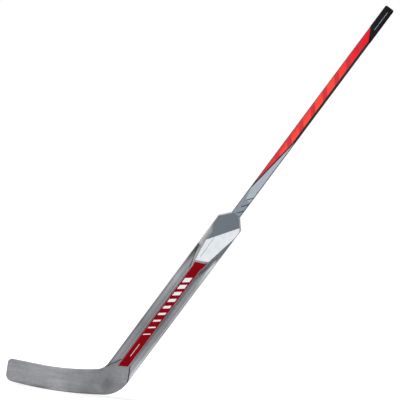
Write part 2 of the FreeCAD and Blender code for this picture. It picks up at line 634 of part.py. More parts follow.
def draw_blade(sketch, inset, crown):
    """Blade and heel in front view, drawn inside their outline by an inset.

    The outline runs from the heel along the sole, up the toe and back along the top edge, which
    starts straight and then curves, to the throat. It is closed by the crown's corners above.
    """
    heel, sole, top, throat = blade_centres()
    move = number(inset)
    heel_radius, sole_radius = number("sizes.heel_radius") - move, number("sizes.sole_radius") - move
    top_radius, throat_radius = number("sizes.top_radius") + move, number("sizes.throat_radius") + move
    low_radius, high_radius = number("sizes.toe_low_corner") - move, number("sizes.toe_high_corner") - move
    toe = heel - along_ice(number(BLADE_REACH) - move, 0)
    tilt = math.radians(number(TOE_TILT))
    straight_normal = along_ice(math.sin(tilt), math.cos(tilt))
    straight_top = top - straight_normal * top_radius
    low = low_corner_centre(toe, low_radius, sole, sole_radius - low_radius)
    high = high_corner_centre(toe, high_radius, straight_top, straight_normal)
    side = number(HALF_PADDLE) - move
    heel_top = Vector(side, heel.y, 0)
    heel_sole = far_point(heel, heel_radius, sole)
    low_sole = far_point(low, low_radius, sole)
    toe_low, toe_high = low - along_ice(low_radius, 0), high - along_ice(high_radius, 0)
    high_top = high + straight_normal * high_radius
    throat_top = far_point(throat, throat_radius, top)
    throat_side = Vector(-side, throat.y, 0)

    def arc(centre, radius, start, end):
        circle = Part.Circle(centre, Vector(0, 0, 1), radius)
        sketch.addGeometry(Part.ArcOfCircle(circle, angle_of(centre, start), angle_of(centre, end)))

    arc(heel, heel_radius, heel_sole, heel_top)
    arc(sole, sole_radius, low_sole, heel_sole)
    arc(low, low_radius, toe_low, low_sole)
    sketch.addGeometry(Part.LineSegment(toe_low, toe_high))
    arc(high, high_radius, high_top, toe_high)
    sketch.addGeometry(Part.LineSegment(high_top, straight_top))
    arc(top, top_radius, straight_top, throat_top)
    arc(throat, throat_radius, throat_top, throat_side)
    corners = [throat_side] + [Vector(number(x), number(y), 0) for x, y in crown] + [heel_top]
    for start, end in zip(corners, corners[1:]):
        sketch.addGeometry(Part.LineSegment(start, end))

    heel_arc, sole_arc, low_arc, toe_line, high_arc, straight, top_arc, throat_arc, first_crown = range(9)
    last_crown = first_crown + len(crown)
    for one, one_end, other, other_end in [
            (heel_arc, 1, sole_arc, 2), (sole_arc, 1, low_arc, 2), (low_arc, 1, toe_line, 1),
            (toe_line, 2, high_arc, 2), (high_arc, 1, straight, 1), (straight, 2, top_arc, 1),
            (top_arc, 2, throat_arc, 1)]:
        sketch.addConstraint(Sketcher.Constraint("Tangent", one, one_end, other, other_end))
    for line in range(first_crown, last_crown):
        sketch.addConstraint(Sketcher.Constraint("Coincident", line, 2, line + 1, 1))
    sketch.addConstraint(Sketcher.Constraint("Coincident", throat_arc, 2, first_crown, 1))
    sketch.addConstraint(Sketcher.Constraint("Coincident", last_crown, 2, heel_arc, 2))
    for line, radius, sign in [
            (sole_arc, "sizes.sole_radius", "-"), (low_arc, "sizes.toe_low_corner", "-"),
            (high_arc, "sizes.toe_high_corner", "-"), (top_arc, "sizes.top_radius", "+"),
            (throat_arc, "sizes.throat_radius", "+")]:
        expression = f"{radius} {sign} {inset}"
        bind(sketch, Sketcher.Constraint("Radius", line, number(expression)), expression)
    pin(sketch, heel_arc, 3, f"{HALF_PADDLE} - sizes.heel_radius", "-sizes.heel_drop")
    pin(sketch, heel_arc, 2, f"{HALF_PADDLE} - {inset}", "-sizes.heel_drop")
    bind(sketch, Sketcher.Constraint("DistanceX", throat_arc, 2, -side), f"-({HALF_PADDLE} - {inset})")
    sketch.addConstraint(Sketcher.Constraint("Horizontal", throat_arc, 3, throat_arc, 2))
    for line, (across, up) in enumerate(crown, start=first_crown):
        pin(sketch, line, 2, across, up)
    for line, direction in [(toe_line, TOE_DIRECTION), (straight, STRAIGHT_DIRECTION)]:
        bind(sketch, Sketcher.Constraint("Angle", line, math.radians(number(direction))), direction)
    for arc_line, distance in [
            (heel_arc, BLADE_REACH), (sole_arc, f"({BLADE_REACH} - sizes.contact_setback)"),
            (top_arc, f"({BLADE_REACH} - sizes.top_setback)")]:
        expression = f"{distance} - {inset}"
        bind(sketch, Sketcher.Constraint("Distance", arc_line, 3, toe_line, number(expression)), expression)
    apart = f"sqrt(pow({TOP_CENTRE_DROP}; 2) + pow(sizes.contact_setback - sizes.top_setback; 2))"
    bind(sketch, Sketcher.Constraint("Distance", sole_arc, 3, top_arc, 3, number(apart)), apart)


def draw_blade_slab(sketch):
    """Blade and heel seen from above: level at the spine, a ramp, then the blade's curve.

    Drawn along the ice from the neck, with the depth upwards; the two faces taper together
    towards a toe that curves away from the front.
    """
    heel = f"(({HALF_PADDLE} - sizes.heel_radius) * {SINE} - sizes.heel_drop * {COSINE})"
    level_end = f"({heel} + sizes.heel_ramp - sizes.ramp_setback)"
    ramp_end = f"({heel} - sizes.ramp_setback)"
    toe = f"({heel} - {BLADE_REACH} - sizes.overrun)"
    heel_end = f"({heel} + sizes.blade_length)"
    ends = []
    for sign in ("-", ""):
        first = sketch.GeometryCount
        deep = f"{sign}{HALF_DEPTH}"
        root = f"{sign}(sizes.blade_root / 2)"
        middle_x = f"(({level_end} + {ramp_end}) / 2)"
        middle_y = f"{sign}(({HALF_DEPTH} + sizes.blade_root / 2) / 2)"
        tip = f"(sizes.blade_curve + {sign}(sizes.blade_tip / 2))"
        corners = [(heel_end, deep), (level_end, deep), (middle_x, middle_y), (ramp_end, root), (toe, tip)]
        spots = [Vector(number(x), number(y), 0) for x, y in corners]
        sketch.addGeometry(Part.LineSegment(spots[0], spots[1]))
        heading = Vector(-1, 0, 0)
        for start, end in zip(spots[1:], spots[2:]):
            arc, heading = tangent_arc(start, heading, end)
            sketch.addGeometry(arc)
        joints = [point_on(sketch, first + step, spots[step]) for step in range(4)]
        ends_here = [point_on(sketch, first + step, spots[step + 1]) for step in range(4)]
        for step in range(3):
            sketch.addConstraint(Sketcher.Constraint(
                "Tangent", first + step, ends_here[step], first + step + 1, joints[step + 1]))
        for step in (0, 1, 3):
            pin(sketch, first + step, joints[step], *corners[step])
        pin(sketch, first + 3, ends_here[3], *corners[4])
        sketch.addConstraint(Sketcher.Constraint("Equal", first + 1, first + 2))
        ends.append((first, joints[0], ends_here[3]))
    (front, front_start, front_toe), (back, back_start, back_toe) = ends
    for one, one_end, other, other_end in [
            (front + 3, front_toe, back + 3, back_toe), (back, back_start, front, front_start)]:
        closing = Part.LineSegment(sketch.getPoint(one, one_end), sketch.getPoint(other, other_end))
        line = sketch.addGeometry(closing)
        sketch.addConstraint(Sketcher.Constraint("Coincident", line, 1, one, one_end))
        sketch.addConstraint(Sketcher.Constraint("Coincident", line, 2, other, other_end))


def make_blade(hollows):
    """Skins, rim, cores and rib of the blade, and the heel block with its tenon."""
    outline = flat_sketch("blade_outline", FRONT)
    draw_blade(outline, "0", [
        (f"-{HALF_PADDLE}", f"-{toe_foot()}"), (f"-{HALF_SPINE}", "-sizes.spine_end"),
        (HALF_SPINE, "-sizes.spine_end")])
    plan = extrude("blade_plan", outline, through="2 * sizes.blade_length")
    upright = Placement(Vector(), Rotation(Vector(0, 1, 0), -number(LEAN_BACK)))
    profile = flat_sketch("blade_profile", upright)
    profile.setExpression("Placement.Rotation.Angle", "sizes.lie_angle - 90")
    draw_blade_slab(profile)
    slab = extrude("blade_slab", profile, through="4 * (sizes.heel_drop + sizes.heel_radius)")
    square = combine("Common", "blade_square", plan, slab)
    doc.recompute()
    form = combine("Cut", "blade_form", round_edges(square), hollows)
    inner = flat_sketch("blade_inside_outline", FRONT)
    draw_blade(inner, "sizes.rail", joint_corners())
    inside = extrude("blade_inside", inner, through="2 * sizes.blade_length")
    core = make_skins("blade", combine("Cut", "blade_sheet", slab, hollows), inside)
    finish(combine("Cut", "rim", form, inside), "blade_rim")
    make_heel_and_cores(core)


def round_edges(square):
    """Blade with its sole, toe and top edges rounded, but not where it meets the paddle."""
    joint = -number("sizes.heel_drop")
    chosen = []
    for index, edge in enumerate(square.Shape.Edges, start=1):
        faces = square.Shape.ancestorsOfType(edge, Part.Face)
        upright = [face for face in faces if is_upright(face)]
        edging = [face for face in upright if not is_joint(face, joint)]
        if len(upright) == 1 and len(edging) == 1:
            chosen.append(index)
    rounded = doc.addObject("Part::Fillet", "blade_rounded")
    rounded.Base = square
    radius = number("sizes.edge_round")
    rounded.Edges = [(index, radius, radius) for index in chosen]
    return rounded


def is_upright(face):
    """Whether a face stands square to the front view."""
    low_u, high_u, low_v, high_v = face.ParameterRange
    return abs(face.normalAt((low_u + high_u) / 2, (low_v + high_v) / 2).y) < TOUCH


def is_joint(face, level):
    """Whether a face is one of the flats where the heel meets the paddle."""
    return isinstance(face.Surface, Part.Plane) and face.BoundBox.ZMax > level


def make_heel_and_cores(core):
    """Heel block up to a pointed front end, and the two blade cores with the rib between."""
    below = "-(sizes.heel_radius + sizes.overrun)"
    above = "2 * sizes.heel_radius"
    zone = front_region("heel_zone", [
        ice_point("-sizes.block_reach", below),
        ice_point("sizes.blade_length", below),
        ice_point("sizes.blade_length", above),
        ice_point("-sizes.block_reach", above),
        ice_point("-(sizes.block_reach + sizes.block_point)", "sizes.blade_height / 2 - sizes.heel_radius")])
    section = flat_sketch("tenon_section", CROSS)
    section.setExpression("Placement.Base.z", "-(sizes.spine_end + sizes.overrun)")
    draw_rounded_box(section, f"({BORE_WIDTH} - 2 * sizes.tenon_gap)",
                     f"({BORE_DEPTH} - 2 * sizes.tenon_gap)", f"({BORE_CORNER} - sizes.tenon_gap)")
    tenon = extrude("tenon", section, forward="sizes.tenon_length + sizes.overrun")
    finish(combine("Fuse", "heel", combine("Common", "heel_filler", core, zone), tenon), "heel_block")
    blade = combine("Cut", "blade_filler", core, zone)
    above_lower = rib_cylinder("above_lower_core", "sizes.sole_radius - sizes.rib_height")
    above_rib = rib_cylinder("above_rib", "sizes.sole_radius - sizes.rib_height - sizes.rib_thickness")
    ring = combine("Cut", "rib_ring", above_lower, above_rib)
    finish(combine("Cut", "lower_core", blade, above_lower), "blade_core_lower")
    finish(combine("Common", "rib", blade, ring), "blade_rib")
    finish(combine("Common", "upper_core", blade, above_rib), "blade_core_upper")


def rib_cylinder(name, radius):
    """Wide cylinder about the sole's centre, whose edge runs parallel to the sole."""
    across, up = ice_point("-sizes.contact_setback", SOLE_CENTRE_RISE)
    cylinder = doc.addObject("Part::Cylinder", name)
    cylinder.Placement = Placement(Vector(), Rotation(Vector(1, 0, 0), 90))
    cylinder.setExpression("Radius", radius)
    cylinder.setExpression("Height", "2 * sizes.paddle_width")
    cylinder.setExpression("Placement.Base.x", across)
    cylinder.setExpression("Placement.Base.y", "sizes.paddle_width")
    cylinder.setExpression("Placement.Base.z", up)
    return cylinder


# Printed films


def make_films():
    """Red band along the spine and pale panel on the shoulder, on both faces."""
    half_band = "(sizes.band_width / 2)"
    top_heel, top_toe = "(sizes.band_top - sizes.band_slant)", "(sizes.band_top + sizes.band_slant)"
    spread = f"sizes.band_flare / (sizes.band_flare_start - {top_heel})"
    toe_flare = f"{spread} * (sizes.band_flare_start - {top_toe})"
    band = [
        (half_band, "sizes.band_slant - sizes.band_bottom"),
        (half_band, "-sizes.band_flare_start"),
        (f"{half_band} + sizes.band_flare", f"-{top_heel}"),
        (f"-({half_band} + {toe_flare})", f"-{top_toe}"),
        (f"-{half_band}", "-sizes.band_flare_start"),
        (f"-{half_band}", "-(sizes.band_slant + sizes.band_bottom)")]
    panel = [(f"{across} * {HALF_PADDLE}", f"-{down} * sizes.flare_start") for across, down in PANEL_SHARES]
    for name, corners in [("spine_film", band), ("shoulder_film", panel)]:
        for side, sign, way in [("front", "-", "forward"), ("back", "", "backward")]:
            outline = flat_sketch(f"{name}_{side}_outline", FRONT)
            outline.setExpression("Placement.Base.y", f"{sign}{HALF_DEPTH}")
            draw_polygon(outline, corners)
            finish(extrude(f"{name}_{side}_sheet", outline, **{way: "sizes.film"}), f"{name}_{side}")


# The whole stick


def check_and_write():
    """Stops at any failed object, then writes each piece to its own file."""
    doc.recompute()
    for thing in doc.Objects:
        if "Invalid" in thing.State or "Error" in thing.State:
            raise RuntimeError(f"{thing.Label} failed: {thing.State}")
    os.makedirs("parts", exist_ok=True)
    for piece in PIECES:
        shape = piece.Shape
        if shape.isNull() or not shape.isValid() or len(shape.Solids) != 1:
            raise RuntimeError(f"{piece.Label} is not one sound solid")
    for piece in PIECES:
        piece.Shape.exportStep(f"parts/{piece.Label}.step")
        print(f"{piece.Label}: {piece.Shape.Volume / 1000:.2f} cm3")


hollow_cutters = both_faces("hollow", make_hollow())
make_shaft_tube()
make_butt_plug()
make_butt_wrap()
make_paddle(hollow_cutters)
make_blade(hollow_cutters)
make_films()
check_and_write()
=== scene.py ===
"""Looks of a hockey goalie stick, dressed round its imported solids."""
import json
import math

import bmesh
import bpy
from bpy.props import FloatProperty, FloatVectorProperty, IntProperty, PointerProperty
from mathutils import Matrix, Vector


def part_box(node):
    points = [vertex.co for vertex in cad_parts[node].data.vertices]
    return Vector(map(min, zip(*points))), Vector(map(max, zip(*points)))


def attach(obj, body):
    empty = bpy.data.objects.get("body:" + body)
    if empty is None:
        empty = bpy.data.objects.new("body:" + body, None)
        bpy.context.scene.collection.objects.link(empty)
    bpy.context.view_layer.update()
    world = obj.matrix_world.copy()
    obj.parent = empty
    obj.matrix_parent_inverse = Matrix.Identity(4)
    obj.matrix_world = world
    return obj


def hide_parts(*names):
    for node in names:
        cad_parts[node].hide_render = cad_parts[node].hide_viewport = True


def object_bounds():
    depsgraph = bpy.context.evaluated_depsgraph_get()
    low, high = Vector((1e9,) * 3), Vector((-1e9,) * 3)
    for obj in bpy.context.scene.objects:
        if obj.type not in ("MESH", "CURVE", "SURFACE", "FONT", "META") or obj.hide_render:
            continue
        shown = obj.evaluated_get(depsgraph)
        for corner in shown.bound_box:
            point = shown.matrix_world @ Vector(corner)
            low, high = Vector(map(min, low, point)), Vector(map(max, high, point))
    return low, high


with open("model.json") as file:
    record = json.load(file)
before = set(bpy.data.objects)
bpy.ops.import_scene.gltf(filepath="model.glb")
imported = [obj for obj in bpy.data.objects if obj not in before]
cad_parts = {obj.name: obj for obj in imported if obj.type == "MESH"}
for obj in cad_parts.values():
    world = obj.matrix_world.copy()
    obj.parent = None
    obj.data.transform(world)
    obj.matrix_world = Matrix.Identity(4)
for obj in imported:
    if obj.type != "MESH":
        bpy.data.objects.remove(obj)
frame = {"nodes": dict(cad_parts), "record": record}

CAD_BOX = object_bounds()

bl_info = {
    "name": "Goalie stick looks",
    "version": (1, 0, 0),
    "blender": (4, 5, 0),
    "location": "3D View > Sidebar > Stick",
    "description": "Paint, films, grip and stage of a hockey goalie stick",
    "category": "Object",
}

# The stick leans, so its patterns are drawn along the shaft: across, through and up the stick.
MOUNTS = {mount["name"]: mount for mount in frame["record"]["mounts"]}
SHAFT_AXIS = Vector(MOUNTS["shaft_grip"]["axis"])
LEAN = math.atan2(SHAFT_AXIS.x, SHAFT_AXIS.z)
TO_STICK = Matrix.Rotation(-LEAN, 3, "Y")
BODY = "root"

# Corners nearer than WELD are merged, places nearer than NEAR count as one.
WELD = 1e-6
NEAR = 1e-5

# Faces that turn less than FLAT are one face, and edges that turn more than these look sharp.
FLAT = math.radians(0.3)
SHARP = math.radians(30)
SHARP_ON_TUBE = math.radians(40)

# Shares of a face's normal, to tell which way the face looks.
BARELY = 0.1
SLIGHTLY = 0.3
MOSTLY = 0.5


def stick_points(node):
    """A node's corners, measured across, through and up the stick."""
    return [TO_STICK @ vertex.co for vertex in frame["nodes"][node].data.vertices]


def stick_box(node):
    """Lowest and highest corner of a node, measured across, through and up the stick."""
    return [Vector(map(choose, zip(*stick_points(node)))) for choose in (min, max)]


def edge_heights(node):
    """Lowest and highest point of a rail's outermost edge."""
    points = stick_points(node)
    outermost = max(abs(point.x) for point in points)
    heights = [point.z for point in points if abs(point.x) > outermost - NEAR]
    return min(heights), max(heights)


def foot_width(node):
    """Half the width of a film's straight lower part."""
    points = stick_points(node)
    middle = sum(point.z for point in points) / len(points)
    return max(abs(point.x) for point in points if point.z < middle)


def spine_corner(node):
    """Where the raised spine's edge ends above the heel: half its width, and its height."""
    points = stick_points(node)
    front = min(point.y for point in points)
    spine = [point for point in points if point.y < front + NEAR]
    foot = min(point.z for point in spine)
    return max(point.x for point in spine if point.z < foot + NEAR), foot


HALF_SHAFT = stick_box("shaft_tube")[1].x
HALF_PADDLE = stick_box("paddle_rail_heel_side")[1].x
RAIL_FOOT, SHOULDER = edge_heights("paddle_rail_heel_side")
HALF_SPINE, SPINE_FOOT = spine_corner("paddle_front_skin")
PANEL_LOW, PANEL_HIGH = stick_box("shoulder_film_front")
HALF_BAND = foot_width("spine_film_front")
BAND_HIGH = stick_box("spine_film_front")[1]
WRAP_LOW, WRAP_HIGH = stick_box("butt_wrap")
WRAP_TOE = min(point.z for point in stick_points("butt_wrap") if point.x < WRAP_LOW.x + NEAR)
BLADE_LOW, BLADE_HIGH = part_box("blade_rim")

# Places across the paddle's wings, from the spine's wall out to the curled edge and past it.
HEEL_WALL = HALF_SPINE * 1.15
TOE_WALL = HALF_SPINE * 1.25
HEEL_FLOOR = HALF_SPINE * 1.75
HEEL_RIM = HALF_PADDLE * 0.79
TOE_RIM = HALF_PADDLE * 0.95
PAST_PADDLE = HALF_PADDLE * 1.1


# Settings


def screen_colour(red, green, blue):
    """A colour given as 0 to 255 on a screen, in the linear scale of the shaders."""
    shares = [part / 255 for part in (red, green, blue)]
    return tuple(s / 12.92 if s <= 0.04045 else ((s + 0.055) / 1.055) ** 2.4 for s in shares)


def colour(name, description, red, green, blue):
    """A colour setting."""
    return FloatVectorProperty(
        name=name, description=description, subtype="COLOR", size=3, min=0, max=1,
        default=screen_colour(red, green, blue))


def distance(name, description, default):
    """A length setting, in metres."""
    return FloatProperty(
        name=name, description=description, default=default, unit="LENGTH", subtype="DISTANCE", precision=5)


def position(name, description, default):
    """A place setting, in metres."""
    return FloatVectorProperty(
        name=name, description=description, default=default, unit="LENGTH", subtype="TRANSLATION", size=3)


def factor(name, description, default):
    """A plain number setting."""
    return FloatProperty(name=name, description=description, default=default, subtype="FACTOR")


def power(name, description, default):
    """A lamp's power setting, in watts."""
    return FloatProperty(name=name, description=description, default=default, subtype="POWER")


def count(name, description, default):
    """A setting for a number of things."""
    return IntProperty(name=name, description=description, default=default)


class StickColours(bpy.types.PropertyGroup):
    """Paints and prints"""
    silver: colour("Silver", "Metallic paint of paddle and blade", 158, 159, 163)
    silver_dark: colour("Dark silver", "Darker streaks in the silver paint", 134, 135, 139)
    # The heel's dark cloud is partly mottled paint and partly painted shade.
    heel_cloud: colour("Heel cloud", "Soft dark cloud in the paint of the heel", 98, 99, 103)
    # This colour is rubbed paint on the blade's broken edges, and also the pale painted highlight on the
    # sloping shoulders and at the spine's toe-side foot.
    edging_and_highlight: colour("Edging", "Rubbed paint along the shoulders and edges", 184, 188, 193)
    shoulder: colour("Shoulder", "Slate paint above the white panel", 104, 111, 119)
    seam: colour("Seam", "Filled seams and fine dark lines", 46, 46, 50)
    # On the paddle this dark edge paint also stands for the shade of its rounded edges.
    rubbed: colour("Rubbed edge", "Dark laminate that shows along the paddle's edges", 84, 84, 88)
    grey: colour("Shaft grey", "Blue-grey paint just above the paddle", 138, 147, 157)
    grey_light: colour("Light shaft grey", "Paler part of the shaft's grey", 174, 184, 194)
    red: colour("Shaft red", "Bright red of the shaft", 255, 79, 64)
    red_deep: colour("Deep shaft red", "Red towards the butt and the grey", 236, 34, 48)
    red_tone: colour("Tonal red", "Slanted bars in the red", 206, 52, 64)
    stripe: colour("Stripe", "Dark stripe and edge line along the shaft", 54, 49, 52)
    black: colour("Grip black", "Sleeve and plug at the butt", 22, 21, 25)
    black_worn: colour("Worn black", "Rubbed patches of the sleeve and plug", 32, 31, 35)
    band: colour("Band red", "Film along the spine", 141, 2, 17)
    band_dark: colour("Dark band red", "Darker clouds in the band", 126, 0, 13)
    # White is also the painted highlight in the heel-side hollow's tip.
    white: colour("White", "Panel on the shoulder and bars on the band", 234, 238, 241)
    white_dull: colour("Dull white", "Duller clouds in the white", 222, 228, 233)
    hairline: colour("Hairline", "Fine line on the sleeve", 196, 202, 208)
    foam: colour("Foam", "Cores inside paddle and blade", 226, 214, 178)
    filler: colour("Filler", "Blocks in shoulder and heel", 150, 140, 122)
    carbon: colour("Bare laminate", "Rib inside the blade", 34, 34, 37)


class StickSizes(bpy.types.PropertyGroup):
    """Where the paints and prints meet, measured up the shaft from the neck"""
    edge_round: distance("Edge rounding", "Radius broken on the paddle's edges", 0.0009)
    edge_steps: count("Edge steps", "Segments of a broken edge", 3)
    print_edge: distance("Print edge", "Softness of the edges of paint and print", 0.0002)
    # The pale strip along the sloping shoulders is a painted highlight:
    shoulder_highlight_width: distance("Edging width", "Rubbed paint along the sloping shoulders", 0.0036)
    seam_width: distance("Seam width", "Filled seam between paddle and heel", 0.0028)
    keyline_width: distance("Keyline width", "Fine dark line on each side of the band", 0.0012)
    keyline_gap: distance("Keyline gap", "Silver left between the band and its dark line", 0.0022)
    grey_start: distance("Light grey start", "Where the paler grey begins", 0.055)
    grey_edge: distance("Light grey edge", "Softness of the paler grey's edge", 0.0012)
    red_start: distance("Red start", "Where the red begins on the toe side", 0.103)
    red_bright: distance("Red bright", "Where the red has brightened above the grey", 0.2346)
    red_full: distance("Red full", "Where the red reaches the dark stripe", 0.276)
    red_even: distance("Red even", "Where the toe side's darker red has faded", 0.4416)
    red_deepens: distance("Red deepens", "How far below the sleeve the red begins to deepen", 0.16)
    red_deepest: distance("Red deepest", "How far below the sleeve the red is deepest", 0.04)
    stripe_width: distance("Stripe width", "Dark stripe along the heel side", 0.0078)
    line_width: distance("Line width", "Dark line between red and grey", 0.0042)
    primer_drop: distance("Primer drop", "Black paint below the sleeve on the heel side", 0.013)
    # Painted shade along the shaft's rounded corners:
    side_line: distance("Side line", "Darker line along the shaft's corners", 0.0022)
    side_share: factor("Side line strength", "Share of dark in the line along the shaft's corners", 0.9)
    tone_pitch: distance("Tonal bar pitch", "Distance between the tonal bars", 0.061)
    tone_width: distance("Tonal bar width", "Width of a tonal bar along the shaft", 0.022)
    tone_edge: distance("Tonal bar edge", "Softness of a tonal bar's edge", 0.0006)
    tone_lean: factor("Tonal bar lean", "Rise of the tonal bars across the shaft", 1.2)
    tick_start: distance("Tick start", "Place of the lowest dark tick on the grey", 0.004)
    tick_pitch: distance("Tick pitch", "Distance between the dark ticks", 0.025)
    tick_count: count("Ticks", "Number of dark ticks", 3)
    tick_width: distance("Tick width", "Thickness of a dark tick", 0.0026)
    tick_lean: factor("Tick lean", "Rise of a tick across the shaft", 1.4)
    bar_start: distance("Band bar start", "Place of the highest white bar on the band", -0.252)
    bar_pitch: distance("Band bar pitch", "Distance between the white bars on the band", 0.026)
    bar_count: count("Band bars", "Number of white bars", 9)
    bar_wide: distance("Widest bar", "Width of the highest white bar", 0.0165)
    bar_thin: distance("Thinnest bar", "Width of the lowest white bar", 0.0035)
    bar_reach: distance("Bar reach", "How far the bars reach from the band's middle", 0.0088)
    bar_lean: factor("Bar lean", "Rise of the white bars across the band", 0.8)
    dash_high: distance("Dash top", "Upper end of the thin white line low on the band", -0.498)
    dash_low: distance("Dash foot", "Lower end of the thin white line low on the band", -0.545)
    dash_width: distance("Dash width", "Width of the thin white line low on the band", 0.0014)
    hair_width: distance("Hairline width", "Fine lines on panel and sleeve", 0.0010)
    sleeve_line_high: distance("Sleeve line top", "Upper end of the sleeve's line, below its top", 0.012)
    sleeve_line_low: distance("Sleeve line foot", "Lower end of the sleeve's line, below its top", 0.08)
    panel_line_side: distance("Panel line side", "Place of the panel's line across the stick", -0.011)
    panel_line_high: distance("Panel line top", "Upper end of the panel's line", -0.096)
    panel_line_low: distance("Panel line foot", "Lower end of the panel's line", -0.170)


class PaddleShadeAndSlate(bpy.types.PropertyGroup):
    """Painted light and shade of the paddle, and its slate paint: heights from the neck, and shades as
    shares of the plain silver
    """
    edge: distance("Spray edge", "Softness of the edges of sprayed paint", 0.0045)
    bend: distance("Hollow bend", "Height where a hollow's wall leaves the spine", -0.217)
    tip: distance("Hollow tip", "Height where a hollow ends at the paddle's edge", -0.140)
    start: distance("Shade start", "Height where the lower paddle's shades begin", -0.18445)
    full: distance("Shade full", "Height where the lower paddle's shades are full", -0.20615)
    heel_full: distance("Heel-side full", "Height where the heel-side wing's shades are full", -0.2821)
    dim: distance("Dim height", "Height where the paint is dimmest", -0.440)
    reach_up: distance("Reach up", "Distance over which the paint brightens upwards", 0.170)
    reach_down: distance("Reach down", "Distance over which the paint brightens downwards", 0.119)
    # Painted shade along the paddle, by height and by side:
    dimmest: factor("Dimmest shade", "Paint at its dimmest height", 0.82)
    heel_top: factor("Heel-side top", "Heel-side paint above the dimmest height", 0.92)
    toe_top: factor("Toe-side top", "Toe-side paint above the dimmest height", 1.54)
    heel_foot: factor("Heel-side foot", "Heel-side paint below the dimmest height", 1.36)
    toe_foot: factor("Toe-side foot", "Toe-side paint below the dimmest height", 1.15)
    # Painted light on the toe-side facet and painted shade on the heel-side one:
    light_facet: factor("Light facet", "Shoulder's facet on the toe side", 1.04)
    dark_facet: factor("Dark facet", "Shoulder's facet on the heel side", 0.58)
    # Painted shade in the toe-side hollow and on the spine, painted light and shade across the heel-side
    # wing:
    toe_hollow: factor("Toe-side hollow", "Toe-side hollow at the spine's wall", 0.45)
    spine: factor("Spine", "Raised spine on both sides of the band", 0.68)
    heel_wall: factor("Heel-side wall", "Heel-side hollow at the spine's wall", 1.3)
    heel_floor: factor("Heel-side floor", "Floor of the heel-side hollow", 0.94)
    heel_rim: factor("Heel-side rim", "Curled edge beyond the heel-side floor", 1.12)
    rim_edge: distance("Rim edge", "Softness of the step from floor to curled edge", 0.0008)
    # Painted shade in the toe-side hollow's tip, and a painted highlight of white in the heel-side one's:
    tip_width: distance("Tip width", "Width of the sprayed shade at a hollow's tip", 0.0075)
    tip_reach: distance("Tip reach", "How far down the shade at a hollow's tip reaches", 0.11)
    tip_full: distance("Tip full", "How far below a hollow's tip its shade is full", 0.022)
    toe_tip: factor("Toe-side tip", "Shade of the toe-side hollow's tip", 0.1)
    heel_tip: factor("Heel-side tip", "Share of white in the heel-side hollow's tip", 0.6)
    heel_tip_drop: distance("Heel-side tip drop", "How far below the tip the white begins", 0.0102)
    heel_tip_edge: distance("Heel-side tip edge", "Softness of the white's edge", 0.00225)
    # A soft dark line inside each edge, creases darkened as painted shade, and a pale painted highlight at
    # the spine's toe-side foot:
    rim_line: distance("Rim line", "How far inside the paddle's edges a soft dark line runs", 0.0034)
    rim_line_width: distance("Rim line width", "Width and softness of that line", 0.0017)
    rim_line_shade: factor("Rim line shade", "Shade of that line", 0.72)
    toe_crease: factor("Toe-side crease", "Line between toe-side hollow and facet", 0.1)
    toe_crease_in: distance("Toe-side crease end", "Its end's distance from the edge", 0.0034)
    heel_crease: factor("Heel-side crease", "Line between heel-side hollow and facet", 0.3)
    heel_crease_in: distance("Heel-side crease end", "Its end's distance from the edge", 0.0068)
    spine_line: factor("Spine line", "Share of pale paint in the line at the spine's toe-side foot", 0.32)
    slate_inner: distance("Slate inside", "Where the slate ends beside the white panel", 0.0280)
    slate_edge: distance("Slate edge", "Height where the slate meets the toe-side edge", -0.066)
    slate_bend: distance("Slate bend", "Height where the slate begins to widen", -0.087)
    slate_low: distance("Slate print foot", "Height of the printed edge at the panel's toe side", -0.1175)
    slate_high: distance("Slate print top", "Height of the printed edge at its heel-side end", -0.0268)
    slate_reach: factor("Slate print reach", "Place of that end, as a share of the panel's reach", 0.85)


class BladeShadeAndScuffs(bpy.types.PropertyGroup):
    """Painted shade and rubbed paint of the blade, measured from its heel, toe and sole"""
    # A dark cloud at the heel, partly mottled paint and partly painted shade:
    cloud_start: distance("Cloud start", "Distance from the heel where its dark cloud begins", 0.20)
    cloud_full: distance("Cloud full", "Distance from the heel where the cloud is full", 0.08)
    cloud_fades: distance("Cloud fades", "Distance from the heel where the cloud begins to fade", 0.06)
    cloud_end: distance("Cloud end", "Distance from the heel where the cloud has faded", 0.02)
    cloud_left: factor("Cloud left", "Share of the cloud that is left there", 0.5)
    # Painted shade towards the toe:
    toe_reach: distance("Toe reach", "Distance from the toe over which the paint brightens", 0.11)
    toe_shade: factor("Toe shade", "Shade of the paint at the toe", 0.8)
    even_shade: factor("Even shade", "Shade of the paint beyond the toe", 1.06)
    sole_full: distance("Sole full", "Height up to which the sole is rubbed dark", 0.003)
    sole_end: distance("Sole end", "Height where the rubbed sole has faded", 0.014)


